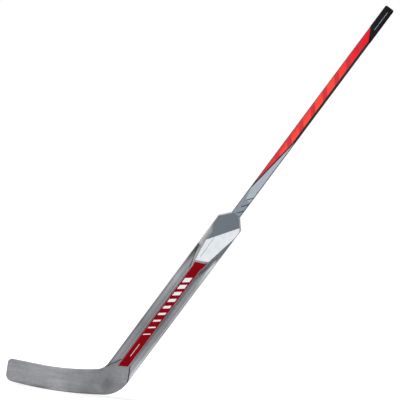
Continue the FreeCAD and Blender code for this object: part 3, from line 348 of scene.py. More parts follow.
class StickGrains(bpy.types.PropertyGroup):
    """Sizes of the clouds and grains in the finishes, and depths of their relief"""
    flake: distance("Flake", "Flakes in the silver paint", 0.0007)
    streak: distance("Streak", "Width of the broad streaks in the silver paint", 0.014)
    fine_streak: distance("Fine streak", "Width of the fine streaks in the silver paint", 0.003)
    silver_cloud: distance("Silver cloud", "Clouds in the silver paint", 0.05)
    worn_patch: distance("Worn patch", "Rubbed patches along the edges", 0.011)
    heel_cloud: distance("Heel cloud", "Clouds in the paint of the heel", 0.045)
    speckle: distance("Speckle", "Speckles in the blade's paint", 0.007)
    scuff: distance("Scuff", "Width of the scuffs along the sole", 0.006)
    shaft_cloud: distance("Shaft cloud", "Clouds in the shaft's paint", 0.03)
    shaft_grain: distance("Shaft grain", "Grain of the shaft's paint", 0.0012)
    pebble: distance("Pebble", "Pebbles of the sleeve's grip", 0.0011)
    sleeve_patch: distance("Sleeve patch", "Rubbed patches of the sleeve", 0.02)
    plug_grain: distance("Plug grain", "Grain of the moulded plug", 0.0015)
    band_cloud: distance("Band cloud", "Clouds in the red film", 0.02)
    band_weave: distance("Band weave", "Weave of the red film", 0.0016)
    panel_cloud: distance("Panel cloud", "Clouds in the white film", 0.03)
    panel_grain: distance("Panel grain", "Grain of the white film", 0.002)
    foam_cell: distance("Foam cell", "Cells of the foam cores", 0.0012)
    filler_cell: distance("Filler cell", "Grains of the filler blocks", 0.0008)
    carbon_cell: distance("Laminate cell", "Cells of the bare laminate", 0.002)
    paint_relief: distance("Paint relief", "Depth of the grain in paint and red film", 0.00002)
    pebble_relief: distance("Pebble relief", "Depth of the sleeve's pebbles", 0.00015)
    plug_relief: distance("Plug relief", "Depth of the plug's grain", 0.00006)
    panel_relief: distance("Panel relief", "Depth of the white film's grain", 0.00001)
    foam_relief: distance("Foam relief", "Depth of the foam's cells", 0.0002)
    filler_relief: distance("Filler relief", "Depth of the filler's grains", 0.00008)
    carbon_relief: distance("Laminate relief", "Depth of the bare laminate's cells", 0.00005)


class StickStage(bpy.types.PropertyGroup):
    """Camera, lamps and floor"""
    view_centre: position(
        "View centre", "Point of the stick's middle plane in the picture's centre", (-0.11655, 0.0, 0.0283))
    view_width: distance("View width", "Width of the picture at the stick", 1.2336)
    roll: FloatProperty(
        name="Roll", description="Turn of the camera about its line of sight", subtype="ANGLE",
        default=math.radians(8.22))
    lens: FloatProperty(
        name="Lens", description="Focal length in millimetres", default=300.0, subtype="DISTANCE_CAMERA")
    key_power: power("Key lamp", "Power of the key lamp", 249.0)
    back_power: power("Back lamp", "Power of the back lamp", 185.0)
    key_place: position("Key place", "Key lamp's place from the stick's middle", (-2.6, -3.7, 2.1))
    key_size: distance("Key size", "Width of the key lamp", 2.4)
    ambient: factor("Ambient", "Strength of the even light", 0.166)
    floor_size: distance("Floor", "Width of the floor", 30.0)
    floor_shade: factor("Floor shade", "Share of the light that the floor gives back", 0.5)
    floor_glow: factor("Floor glow", "How bright the floor looks by itself beside the stick", 0.64)
    shadow_reach: distance("Shadow reach", "How far from the blade the floor still shows a shadow", 0.6)


# Materials


class Tree:
    """A node tree, with short ways to add to it."""

    def __init__(self, owner):
        owner.use_nodes = True
        self.nodes = owner.node_tree.nodes
        self.links = owner.node_tree.links

    def feed(self, socket, value):
        """Sets a socket to a constant, or links another node's output to it."""
        if isinstance(value, bpy.types.NodeSocket):
            self.links.new(value, socket)
        elif socket.type == "RGBA":
            socket.default_value = (*value, 1)
        else:
            socket.default_value = value

    def add(self, kind, *values, **settings):
        """A node with its settings and its first sockets fed in order."""
        node = self.nodes.new("ShaderNode" + kind)
        for setting, value in settings.items():
            setattr(node, setting, value)
        for socket, value in zip(node.inputs, values):
            self.feed(socket, value)
        return node

    def math(self, operation, first, second=0.0):
        """A calculation with two numbers or sockets."""
        return self.add("Math", first, second, operation=operation).outputs[0]

    def times(self, *masks):
        """The product of several masks."""
        product = masks[0]
        for mask in masks[1:]:
            product = self.math("MULTIPLY", product, mask)
        return product

    def outside(self, mask):
        """What a mask leaves out."""
        return self.math("SUBTRACT", 1.0, mask)

    def ramp(self, value, low, high, start=0.0, end=1.0):
        """A value's rise from one limit to another, as start to end."""
        return self.add("MapRange", value, low, high, start, end).outputs[0]

    def blend(self, mask, start, end):
        """A number that goes from start to end with a mask."""
        return self.ramp(mask, 0.0, 1.0, start, end)

    def above(self, value, limit, soft):
        """1 where a value is over a limit."""
        return self.ramp(value, limit - soft, limit + soft)

    def mapped(self, place, turn=0.0, scale=(1, 1, 1), shift=(0, 0, 0)):
        """Coordinates stretched, turned about the depth and moved."""
        node = self.add("Mapping", place)
        node.inputs["Location"].default_value = shift
        node.inputs["Rotation"].default_value = (0, turn, 0)
        node.inputs["Scale"].default_value = scale
        return node.outputs[0]

    def seen_directly(self):
        """1 for rays from the camera and for what shiny or clear things show, and 0 for light."""
        rays = self.add("LightPath").outputs
        shown = self.math("MAXIMUM", rays["Is Glossy Ray"], rays["Is Transmission Ray"])
        return self.math("MAXIMUM", rays["Is Camera Ray"], shown)


class Finish(Tree):
    """A material's node tree, with the settings, its places and its base colour so far."""

    def __init__(self, scene, name, **sockets):
        self.colours = scene.stick_colours
        self.sizes = scene.stick_sizes
        self.grains = scene.stick_grains
        self.material = bpy.data.materials.new(name)
        super().__init__(self.material)
        self.shader = self.nodes["Principled BSDF"]
        for socket, value in sockets.items():
            self.feed(self.shader.inputs[socket.replace("_", " ")], value)
        self.world = self.add("TexCoord").outputs["Object"]
        self.stick = self.mapped(self.world, turn=-LEAN)
        self.across, _, self.up = self.parts(self.stick)
        self.base = None

    def parts(self, place):
        """The three coordinates of a place."""
        return self.add("SeparateXYZ", place).outputs

    def mix(self, share, first, second):
        """Two colours mixed."""
        node = self.add("Mix", data_type="RGBA")
        for socket, value in ((0, share), (6, first), (7, second)):
            self.feed(node.inputs[socket], value)
        return node.outputs[2]

    def cover(self, mask, coat, share=1.0):
        """Lays a share of another colour over the base where a mask says."""
        self.base = self.mix(self.times(mask, share), self.base, coat)

    def tint(self, shade):
        """Makes the base lighter or darker by a number."""
        grey = self.add("CombineXYZ", shade, shade, shade).outputs[0]
        self.base = self.add("VectorMath", self.base, grey, operation="MULTIPLY").outputs[0]

    def dim(self, mask, shade):
        """Makes the base lighter or darker by a number where a mask says."""
        self.tint(self.blend(mask, 1.0, shade))

    def noise(self, place, size, stretch=(1, 1, 1), detail=2.0):
        """Clouds of a size in metres, drawn out along the axes, from about 0 to 1."""
        scale = [1 / (size * share) for share in stretch]
        node = self.add("TexNoise", self.mapped(place, scale=scale))
        node.inputs["Scale"].default_value = 1.0
        node.inputs["Detail"].default_value = detail
        return node.outputs[0]

    def cells(self, place, size):
        """Small cells of a size in metres: each one's own shade, and the distance from its middle."""
        node = self.add("TexVoronoi", self.mapped(place, scale=(1 / size,) * 3))
        node.inputs["Scale"].default_value = 1.0
        return self.add("SeparateColor", node.outputs["Color"]).outputs[0], node.outputs["Distance"]

    def left_of(self, start, end, soft):
        """1 to the left of a line between two points, each across and up the stick."""
        run, rise = end[0] - start[0], end[1] - start[1]
        normal = Vector((-rise, 0, run)).normalized()
        reach = normal.dot(Vector((start[0], 0, start[1])))
        along = self.add("VectorMath", self.stick, normal, operation="DOT_PRODUCT").outputs["Value"]
        return self.above(along, reach, soft)

    def within(self, corners, soft):
        """1 inside a convex outline whose corners go round to the left."""
        return self.times(*[
            self.left_of(start, end, soft) for start, end in zip(corners, corners[1:] + corners[:1])])

    def stroke(self, start, end, width, soft):
        """1 on a straight line of a width between two points, each across and up the stick."""
        start, end = Vector(start), Vector(end)
        side = (end - start).orthogonal().normalized() * width / 2
        return self.within([start - side, end - side, end + side, start + side], soft)

    def from_middle(self, reach, soft):
        """1 on both sides of the stick, beyond a distance from its middle."""
        return self.above(self.math("ABSOLUTE", self.across), reach, soft)

    def bump(self, height, depth):
        """Relief of a depth in metres."""
        node = self.add("Bump")
        node.inputs["Distance"].default_value = depth
        self.feed(node.inputs["Height"], height)
        self.feed(self.shader.inputs["Normal"], node.outputs[0])

    def finish(self, roughness):
        """Feeds colour and roughness, and gives the material."""
        self.feed(self.shader.inputs["Base Color"], self.base)
        self.feed(self.shader.inputs["Roughness"], roughness)
        return self.material


class Silver(Finish):
    """Satin silver paint with streaks drawn out along the piece and fine flakes."""

    STREAK_LENGTH = 30
    FINE_SHARE = 0.6

    def __init__(self, scene, name, up_stick):
        super().__init__(scene, name, Metallic=0.15, Specular_IOR_Level=0.12)
        colours, grains = self.colours, self.grains
        place = self.stick if up_stick else self.world
        drawn_out = (1, 1, self.STREAK_LENGTH) if up_stick else (self.STREAK_LENGTH, 1, 1)
        broad = self.noise(place, grains.streak, drawn_out)
        fine = self.noise(place, grains.fine_streak, drawn_out)
        clouds = self.noise(place, grains.silver_cloud, detail=3.0)
        streaks = self.math("ADD", self.math("ADD", broad, clouds), self.times(fine, self.FINE_SHARE))
        self.flakes = self.cells(self.world, grains.flake)[0]
        self.base = self.mix(self.ramp(streaks, low=0.95, high=1.65), colours.silver_dark, colours.silver)
        self.tint(self.blend(self.flakes, start=0.9, end=1.1))
        self.roughness = self.ramp(streaks, low=0.9, high=1.7, start=0.40, end=0.52)

    def wear(self, rubbed):
        """Paint turned towards another shade on the broken edges, in patches: rubbed paint, and on the
        paddle also painted shade of its rounded edges.
        """
        worn = self.add("Attribute", attribute_name="worn").outputs["Fac"]
        patches = self.noise(self.world, self.grains.worn_patch, detail=4.0)
        self.cover(self.times(worn, self.ramp(patches, low=0.42, high=0.62, start=0.5, end=0.9)), rubbed)

    def seams(self):
        """The filled seams where the paddle's two wings meet the heel, drawn dark, which also stand for the
        shade at the step where each hollow ends.
        """
        for side in (-1, 1):
            inner, outer = (side * HALF_SPINE, SPINE_FOOT), (side * HALF_PADDLE, RAIL_FOOT)
            line = self.stroke(inner, outer, self.sizes.seam_width, self.sizes.print_edge)
            self.cover(line, self.colours.seam)


class PaddlePaint(Silver):
    """Silver paint of the paddle with painted light and shade."""

    def __init__(self, scene):
        super().__init__(scene, "paddle_paint", up_stick=True)
        self.shading_and_paint = scene.paddle_spray
        self.lower = self.ramp(self.up, self.shading_and_paint.start, self.shading_and_paint.full)  # 1 below the shoulder

    def crease(self, side):
        """Both ends of the line where a hollow's wall meets the facet above it."""
        shading_and_paint = self.shading_and_paint
        inside = shading_and_paint.heel_crease_in if side > 0 else shading_and_paint.toe_crease_in
        return (side * HALF_SPINE, shading_and_paint.bend), (side * (HALF_PADDLE - inside), shading_and_paint.tip)

    def lengthwise(self):
        """Painted shade along the paddle: darkest at the dimmest height and lighter towards both ends, on
        each side by its own shades.
        """
        shading_and_paint = self.shading_and_paint
        toe_side = self.outside(self.above(self.across, 0.0, HALF_SPINE))
        top = self.blend(toe_side, shading_and_paint.heel_top, shading_and_paint.toe_top)
        foot = self.blend(toe_side, shading_and_paint.heel_foot, shading_and_paint.toe_foot)
        upwards = self.ramp(self.up, shading_and_paint.dim, shading_and_paint.dim + shading_and_paint.reach_up)
        downwards = self.ramp(self.up, shading_and_paint.dim, shading_and_paint.dim - shading_and_paint.reach_down)
        self.dim(self.lower, self.blend(downwards, self.blend(upwards, shading_and_paint.dimmest, top), foot))

    def light_facet(self):
        """Paints light onto the shoulder's facet on the toe side."""
        corners = [(-PAST_PADDLE, SHOULDER), (-PAST_PADDLE, self.shading_and_paint.tip), (-HALF_SPINE, self.shading_and_paint.bend)]
        self.dim(self.within(corners, self.sizes.print_edge), self.shading_and_paint.light_facet)

    def dark_facet(self):
        """Paints shade onto the shoulder's facet on the heel side, and gives its mask."""
        shading_and_paint, soft = self.shading_and_paint, self.sizes.print_edge
        over_hollow = self.math(
            "MAXIMUM", self.left_of(*self.crease(1), soft), self.above(self.up, shading_and_paint.tip, soft))
        beside_panel = self.within([
            (HALF_SPINE, shading_and_paint.bend), (PAST_PADDLE, shading_and_paint.bend), (PAST_PADDLE, SHOULDER),
            (PANEL_HIGH.x, SHOULDER), (HALF_BAND, BAND_HIGH.z)], soft)
        facet = self.times(over_hollow, beside_panel)
        self.dim(facet, shading_and_paint.dark_facet)
        return facet

    def hollows(self):
        """Paints shade into the toe-side hollow towards the spine and onto the spine, and light and shade
        across the heel-side wing.
        """
        shading_and_paint, soft = self.shading_and_paint, self.sizes.print_edge
        toe_hollow = self.outside(self.above(self.across, -HALF_SPINE, soft))
        near_spine = self.ramp(self.across, -TOE_RIM, -TOE_WALL)
        self.dim(self.times(toe_hollow, near_spine, self.lower), shading_and_paint.toe_hollow)
        self.dim(self.times(self.lower, self.outside(self.from_middle(HALF_SPINE, soft))), shading_and_paint.spine)
        heel_wing = self.times(
            self.above(self.across, HALF_BAND, soft), self.ramp(self.up, shading_and_paint.bend, shading_and_paint.heel_full))
        floor = self.ramp(self.across, HEEL_WALL, HEEL_FLOOR, shading_and_paint.heel_wall, shading_and_paint.heel_floor)
        rim = self.above(self.across, HEEL_RIM, shading_and_paint.rim_edge)
        self.dim(heel_wing, self.times(floor, self.blend(rim, 1.0, shading_and_paint.heel_rim)))

    def tips(self, dark_facet):
        """Paints shade into the toe-side hollow's tip, and a pale highlight into the heel-side one's below
        the dark facet.
        """
        shading_and_paint = self.shading_and_paint
        middle, foot = HALF_PADDLE - shading_and_paint.tip_width, shading_and_paint.tip - shading_and_paint.tip_reach
        fade = self.ramp(self.up, foot, shading_and_paint.tip - shading_and_paint.tip_full)
        dark = self.stroke((-middle, shading_and_paint.tip), (-middle, foot), shading_and_paint.tip_width, shading_and_paint.edge)
        self.dim(self.times(dark, fade), shading_and_paint.toe_tip)
        pale = self.stroke(
            (middle, shading_and_paint.tip - shading_and_paint.heel_tip_drop), (middle, foot), shading_and_paint.tip_width, shading_and_paint.heel_tip_edge)
        self.cover(self.times(pale, fade, self.outside(dark_facet)), self.colours.white, shading_and_paint.heel_tip)

    def lines(self):
        """Draws a soft dark line inside each edge, darkens the creases as painted shade, and paints a pale
        highlight at the spine's toe-side foot.
        """
        shading_and_paint, sizes = self.shading_and_paint, self.sizes
        for side in (-1, 1):
            inside = side * (HALF_PADDLE - shading_and_paint.rim_line)
            width = shading_and_paint.rim_line_width
            rim_line = self.stroke((inside, RAIL_FOOT), (inside, shading_and_paint.tip), width, width)
            self.dim(rim_line, shading_and_paint.rim_line_shade)
            crease = self.stroke(*self.crease(side), sizes.seam_width, sizes.keyline_width)
            self.dim(crease, shading_and_paint.heel_crease if side > 0 else shading_and_paint.toe_crease)
        beside = -HALF_SPINE - sizes.keyline_gap / 2
        line = self.stroke(
            (beside, SPINE_FOOT), (beside, shading_and_paint.bend), sizes.keyline_gap, sizes.keyline_width)
        self.cover(line, self.colours.edging_and_highlight, shading_and_paint.spine_line)

    def plain_sides(self, plain):
        """Gives the side faces of the rails their plain silver back, without the painted light and shade."""
        soft = self.sizes.print_edge
        self.cover(self.from_middle(HALF_PADDLE - soft * 2, soft), plain)

    def slate(self):
        """Sprays the shoulder slate, as far as a printed edge beside the white panel."""
        shading_and_paint = self.shading_and_paint
        inner, outer = (-shading_and_paint.slate_inner, shading_and_paint.slate_bend), (-HALF_PADDLE, shading_and_paint.slate_edge)
        sprayed = self.math(
            "MAXIMUM", self.left_of((inner[0], SHOULDER), inner, shading_and_paint.edge),
            self.left_of(outer, inner, shading_and_paint.edge))
        print_low = (PANEL_LOW.x, shading_and_paint.slate_low)
        print_high = (PANEL_HIGH.x * shading_and_paint.slate_reach, shading_and_paint.slate_high)
        printed = self.left_of(print_low, print_high, self.sizes.print_edge)
        self.cover(self.times(sprayed, printed), self.colours.shoulder)

    def trim(self):
        """Paints the sloping shoulders pale as a highlight and draws the fine dark lines beside the band."""
        sizes, soft = self.sizes, self.sizes.print_edge
        both_ways = sizes.shoulder_highlight_width * 2
        for side in (-1, 1):
            neck, corner = (side * HALF_SHAFT, 0.0), (side * HALF_PADDLE, SHOULDER)
            self.cover(self.stroke(neck, corner, both_ways, soft), self.colours.edging_and_highlight)
            beside = side * (HALF_BAND + sizes.keyline_gap)
            foot, top = (beside, SPINE_FOOT), (beside, self.shading_and_paint.bend)
            self.cover(self.stroke(foot, top, sizes.keyline_width, soft), self.colours.seam)


def paddle_paint(scene):
    """Silver paddle with painted light and shade on its facets, hollows and spine, a slate shoulder above
    the white panel, and fine dark lines beside the band.
    """
    paint = PaddlePaint(scene)
    plain = paint.base
    paint.lengthwise()
    paint.light_facet()
    facet = paint.dark_facet()
    paint.hollows()
    paint.tips(facet)
    paint.lines()
    paint.plain_sides(plain)
    paint.slate()
    paint.trim()
    paint.seams()
    # Dark broken edges: rubbed paint, and also painted shade of the rounded edges.
    paint.wear(paint.colours.rubbed)
    paint.bump(paint.flakes, paint.grains.paint_relief)
    return paint.finish(paint.roughness)


def blade_paint(scene):
    """Silver blade: streaks along it, a soft dark cloud at the heel that is partly painted shade, painted
    shade towards the toe, and a rubbed dark sole.
    """
    paint = Silver(scene, "blade_paint", up_stick=False)
    shading_and_paint, grains = scene.blade_spray, paint.grains
    along, _, up = paint.parts(paint.world)
    heel, toe, sole = BLADE_HIGH.x, BLADE_LOW.x, BLADE_LOW.z
    # A dark cloud at the heel: mottled paint and painted shade.
    at_heel = paint.times(
        paint.ramp(along, heel - shading_and_paint.cloud_start, heel - shading_and_paint.cloud_full),
        paint.ramp(along, heel - shading_and_paint.cloud_fades, heel - shading_and_paint.cloud_end, 1.0, shading_and_paint.cloud_left))
    cloud = paint.noise(paint.world, grains.heel_cloud, detail=3.0)
    cloud = paint.ramp(cloud, low=0.36, high=0.62, start=0.5, end=0.95)
    paint.cover(paint.times(at_heel, cloud), paint.colours.heel_cloud)
    # Painted shade towards the toe.
    paint.tint(paint.ramp(along, toe, toe + shading_and_paint.toe_reach, shading_and_paint.toe_shade, shading_and_paint.even_shade))
    speckle = paint.noise(paint.world, grains.speckle, detail=3.0)
    paint.tint(paint.ramp(speckle, low=0.35, high=0.65, start=0.95, end=1.05))
    scuffs = paint.noise(paint.world, grains.scuff, stretch=(6, 1, 1), detail=4.0)
    scuffs = paint.ramp(scuffs, low=0.4, high=0.62, start=0.1, end=0.6)
    at_sole = paint.ramp(up, sole + shading_and_paint.sole_full, sole + shading_and_paint.sole_end, 1.0, 0.0)
    paint.cover(paint.times(at_sole, scuffs), paint.colours.stripe)
    paint.seams()
    paint.wear(paint.colours.edging_and_highlight)
    paint.bump(paint.math("ADD", paint.flakes, speckle), grains.paint_relief)
    return paint.finish(paint.roughness)


def shaft_paint(scene):
    """Grey at the neck, a long diagonal into red with tonal bars, and a dark stripe along the heel side."""
    paint = Finish(scene, "shaft_paint", Specular_IOR_Level=0.03)
    colours, sizes, grains = paint.colours, paint.sizes, paint.grains
    soft, shift = sizes.print_edge, sizes.line_width
    clouds = paint.noise(paint.stick, grains.shaft_cloud, stretch=(1, 1, 4), detail=3.0)
    stripe_start = HALF_SHAFT - sizes.stripe_width
    low, high = (-HALF_SHAFT, sizes.red_start), (stripe_start, sizes.red_full)
    paint.base = shaft_grey(paint)
    past_line = paint.left_of((low[0] + shift, low[1]), (high[0] + shift, high[1]), soft)
    paint.cover(past_line, colours.stripe)
    beside_stripe = paint.outside(paint.above(paint.across, stripe_start, soft))
    paint.cover(paint.times(paint.left_of(low, high, soft), beside_stripe), shaft_red(paint, clouds))
    primer_foot = (HALF_SHAFT, WRAP_LOW.z - sizes.primer_drop)
    paint.cover(paint.left_of((-HALF_SHAFT, WRAP_TOE), primer_foot, soft), colours.black)
    # Painted shade along the shaft's rounded corners.
    corners = paint.from_middle(HALF_SHAFT - sizes.side_line, soft)
    paint.cover(corners, colours.stripe, sizes.side_share)
    paint.tint(paint.ramp(clouds, low=0.3, high=0.7, start=0.95, end=1.04))
    paint.bump(paint.noise(paint.stick, grains.shaft_grain), grains.paint_relief)
    return paint.finish(paint.ramp(clouds, low=0.3, high=0.7, start=0.32, end=0.46))


def shaft_grey(paint):
    """Blue-grey of the neck with a paler field above it and short dark ticks."""
    colours, sizes = paint.colours, paint.sizes
    past_shaft, past_red = HALF_SHAFT * 2, sizes.red_full * 2
    field_side, tick_side = -HALF_SHAFT / 4, -HALF_SHAFT / 8
    field = paint.within([
        (past_shaft, sizes.grey_start), (past_shaft, past_red), (-HALF_SHAFT, past_red),
        (-HALF_SHAFT, sizes.red_start), (field_side, sizes.grey_start)], sizes.grey_edge)
    grey = paint.mix(field, colours.grey, colours.grey_light)
    for tick in range(sizes.tick_count):
        foot = sizes.tick_start + tick * sizes.tick_pitch
        top = foot + sizes.tick_lean * HALF_SHAFT
        line = paint.stroke((tick_side, foot), (HALF_SHAFT, top), sizes.tick_width, sizes.print_edge)
        grey = paint.mix(line, grey, colours.stripe)
    return grey


def shaft_red(paint, clouds):
    """Red that deepens towards both ends and the toe side, with slanted tonal bars."""
    colours, sizes = paint.colours, paint.sizes
    low_end = paint.ramp(paint.up, sizes.red_start, sizes.red_bright, 1.0, 0.0)
    high_end = paint.ramp(paint.up, WRAP_LOW.z - sizes.red_deepens, WRAP_LOW.z - sizes.red_deepest)
    red = paint.mix(paint.math("MAXIMUM", low_end, high_end), colours.red, colours.red_deep)
    slanted = paint.math("ADD", paint.up, paint.times(paint.across, sizes.tone_lean))
    turns = paint.math("FRACT", paint.math("DIVIDE", slanted, sizes.tone_pitch))
    phase = paint.times(turns, sizes.tone_pitch)
    bar_low, bar_high = [(sizes.tone_pitch + side * sizes.tone_width) / 2 for side in (-1, 1)]
    bars = paint.times(
        paint.above(phase, bar_low, sizes.tone_edge),
        paint.outside(paint.above(phase, bar_high, sizes.tone_edge)))
    tone = paint.times(bars, paint.ramp(clouds, low=0.3, high=0.7, start=0.6, end=1.0))
    toe_side = paint.ramp(paint.across, -HALF_SHAFT / 8, -HALF_SHAFT * 3 / 4, start=0.0, end=0.8)
    low_half = paint.ramp(paint.up, sizes.red_full, sizes.red_even, start=1.0, end=0.15)
    darker = paint.math("MAXIMUM", tone, paint.times(toe_side, low_half))
    return paint.mix(darker, red, colours.red_tone)


def grip_sleeve(scene):
    """Matt black sleeve with a fine pebbled grip and one hairline."""
    paint = Finish(scene, "grip_sleeve", Specular_IOR_Level=0.05)
    colours, sizes, grains = paint.colours, paint.sizes, paint.grains
    patches = paint.noise(paint.world, grains.sleeve_patch, detail=3.0)
    paint.base = paint.mix(paint.ramp(patches, low=0.4, high=0.7), colours.black, colours.black_worn)
    beside = HALF_SHAFT / 8
    low, high = [(beside, WRAP_HIGH.z - drop) for drop in (sizes.sleeve_line_low, sizes.sleeve_line_high)]
    paint.cover(paint.stroke(low, high, sizes.hair_width, sizes.print_edge), colours.hairline)
    paint.bump(paint.cells(paint.world, grains.pebble)[1], grains.pebble_relief)
    return paint.finish(paint.ramp(patches, low=0.35, high=0.7, start=0.55, end=0.72))


def plug_moulding(scene):
    """Moulded black plug with a fine grain."""
    paint = Finish(scene, "plug_moulding", Specular_IOR_Level=0.06)
    colours, grains = paint.colours, paint.grains
    grain = paint.noise(paint.world, grains.plug_grain, detail=3.0)
    paint.base = paint.mix(paint.ramp(grain, low=0.35, high=0.65), colours.black, colours.black_worn)
    paint.bump(grain, grains.plug_relief)
    return paint.finish(paint.ramp(grain, low=0.3, high=0.7, start=0.5, end=0.68))


def band_film(scene):
    """Red film with a row of slanted white bars that grow thinner towards the heel, and a thin line."""
    paint = Finish(scene, "band_film", Specular_IOR_Level=0.05)
    colours, sizes, grains = paint.colours, paint.sizes, paint.grains
    clouds = paint.noise(paint.stick, grains.band_cloud, stretch=(1, 1, 3), detail=3.0)
    weave = paint.noise(paint.stick, grains.band_weave, detail=1.0)
    tone = paint.ramp(paint.math("ADD", clouds, weave), low=0.7, high=1.3)
    paint.base = paint.mix(tone, colours.band_dark, colours.band)
    reach, rise = sizes.bar_reach, sizes.bar_reach * sizes.bar_lean
    for bar in range(sizes.bar_count):
        middle = sizes.bar_start - bar * sizes.bar_pitch
        share = bar / (sizes.bar_count - 1)
        half = (sizes.bar_wide + (sizes.bar_thin - sizes.bar_wide) * share) / 2
        outline = [
            (-reach, middle - rise - half), (reach, middle + rise - half),
            (reach, middle + rise + half), (-reach, middle - rise + half)]
        paint.cover(paint.within(outline, sizes.print_edge), colours.white)
    dash = paint.stroke((0.0, sizes.dash_high), (0.0, sizes.dash_low), sizes.dash_width, sizes.print_edge)
    paint.cover(dash, colours.white)
    paint.bump(weave, grains.paint_relief)
    return paint.finish(paint.ramp(clouds, low=0.3, high=0.7, start=0.34, end=0.46))


def panel_film(scene):
    """White film with one fine dark line."""
    paint = Finish(scene, "panel_film", Specular_IOR_Level=0.2)
    colours, sizes, grains = paint.colours, paint.sizes, paint.grains
    clouds = paint.noise(paint.stick, grains.panel_cloud, detail=4.0)
    paint.base = paint.mix(paint.ramp(clouds, low=0.35, high=0.65), colours.white_dull, colours.white)
    low, high = [(sizes.panel_line_side, end) for end in (sizes.panel_line_low, sizes.panel_line_high)]
    paint.cover(paint.stroke(low, high, sizes.hair_width, sizes.print_edge), colours.seam)
    paint.bump(paint.noise(paint.stick, grains.panel_grain), grains.panel_relief)
    return paint.finish(paint.ramp(clouds, low=0.3, high=0.7, start=0.3, end=0.42))


def inner_stuff(scene, name, plain, cell, relief):
    """Foam, filler or bare laminate inside the stick: cells with their own shade, in clouds."""
    darkening, cells_in_cloud = 0.7, 12
    paint = Finish(scene, name, Specular_IOR_Level=0.2)
    shades = paint.cells(paint.world, cell)[0]
    clouds = paint.noise(paint.world, cell * cells_in_cloud, detail=3.0)
    dark = [part * darkening for part in plain]
    paint.base = paint.mix(paint.ramp(paint.math("ADD", shades, clouds), low=0.4, high=1.6), dark, plain)
    paint.bump(shades, relief)
    return paint.finish(paint.ramp(clouds, low=0.3, high=0.7, start=0.7, end=0.9))


# Pieces


def welded(node):
    """A node's mesh as one closed skin with whole flat faces."""
    skin = bmesh.new()
    skin.from_mesh(frame["nodes"][node].data)
    bmesh.ops.remove_doubles(skin, verts=skin.verts, dist=WELD)
    bmesh.ops.dissolve_limit(skin, angle_limit=FLAT, verts=skin.verts, edges=skin.edges)
    return skin


def break_edges(skin, edges, sizes):
    """Rounds the chosen edges and marks their faces as worn."""
    worn = skin.faces.layers.float.new("worn")
    made = bmesh.ops.bevel(
        skin, geom=edges, offset=sizes.edge_round, offset_type="OFFSET", segments=sizes.edge_steps,
        profile=0.5, affect="EDGES", clamp_overlap=True, material=-1)
    for face in made["faces"]:
        face[worn] = 1.0


def dress(skin, name, node, material, sharp=SHARP):
    """Makes a piece of a mesh: it stands for its node, rides on the stick and has its finish."""
    mesh = bpy.data.meshes.new(name)
    skin.to_mesh(mesh)
    skin.free()
    mesh.materials.append(material)
    mesh.shade_smooth()
    mesh.set_sharp_from_angle(angle=sharp)
    piece = bpy.data.objects.new(name, mesh)
    bpy.context.scene.collection.objects.link(piece)
    weighted = piece.modifiers.new("even_shading", "WEIGHTED_NORMAL")
    weighted.keep_sharp = True
    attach(piece, BODY)
    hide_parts(node)


def stick_normal(face):
    """A face's normal across, through and up the stick."""
    return TO_STICK @ face.normal


def is_outer(face, middle):
    """Whether a face looks away from the stick, sideways or up the shaft."""
    normal = stick_normal(face)
    sideways = normal.x * middle.x > SLIGHTLY * abs(middle.x)
    return abs(normal.y) < BARELY and (sideways or normal.z > SLIGHTLY)


def rail_edges(skin):
    """Edges between a rail's outer side and its front and back."""
    chosen = []
    for edge in skin.edges:
        middle = TO_STICK @ ((edge.verts[0].co + edge.verts[1].co) / 2)
        sides = [is_outer(face, middle) for face in edge.link_faces]
        shown = [abs(stick_normal(face).y) > MOSTLY for face in edge.link_faces]
        if any(sides) and any(shown):
            chosen.append(edge)
    return chosen


def ridge_edges(skin):
    """Outward edges of a skin's own relief, such as the spine's."""
    chosen = []
    for edge in skin.edges:
        depths = [stick_normal(face).y for face in edge.link_faces]
        if len(depths) == 2 and edge.is_convex and depths[0] * depths[1] > BARELY:
            if edge.calc_face_angle() > SHARP:
                chosen.append(edge)
    return chosen


class STICK_OT_shaft(bpy.types.Operator):
    """Shaft tube with its paint"""
    bl_idname = "stick.shaft"
    bl_label = "Shaft"

    def execute(self, context):
        paint = shaft_paint(context.scene)
        dress(welded("shaft_tube"), "painted_shaft", "shaft_tube", paint, SHARP_ON_TUBE)
        return {"FINISHED"}


class STICK_OT_butt(bpy.types.Operator):
    """Grip sleeve and plug at the butt"""
    bl_idname = "stick.butt"
    bl_label = "Butt"

    def execute(self, context):
        sleeve, plug = grip_sleeve(context.scene), plug_moulding(context.scene)
        dress(welded("butt_wrap"), "butt_sleeve", "butt_wrap", sleeve, SHARP_ON_TUBE)
        dress(welded("butt_plug"), "butt_end_plug", "butt_plug", plug)
        return {"FINISHED"}


class STICK_OT_paddle(bpy.types.Operator):
    """Skins and rails of the paddle"""
    bl_idname = "stick.paddle"
    bl_label = "Paddle"

    def execute(self, context):
        sizes, paint = context.scene.stick_sizes, paddle_paint(context.scene)
        for face in ("front", "back"):
            skin = welded(f"paddle_{face}_skin")
            break_edges(skin, ridge_edges(skin), sizes)
            dress(skin, f"paddle_face_{face}", f"paddle_{face}_skin", paint)
        for side in ("toe_side", "heel_side"):
            skin = welded(f"paddle_rail_{side}")
            break_edges(skin, rail_edges(skin), sizes)
            dress(skin, f"paddle_edge_{side}", f"paddle_rail_{side}", paint)
        return {"FINISHED"}


class STICK_OT_blade(bpy.types.Operator):
    """Skins and rim of the blade and heel"""
    bl_idname = "stick.blade"
    bl_label = "Blade"

    def execute(self, context):
        sizes, paint = context.scene.stick_sizes, blade_paint(context.scene)
        for face in ("front", "back"):
            skin = welded(f"blade_{face}_skin")
            break_edges(skin, ridge_edges(skin), sizes)
            dress(skin, f"blade_face_{face}", f"blade_{face}_skin", paint)
        dress(welded("blade_rim"), "blade_edge", "blade_rim", paint)
        return {"FINISHED"}


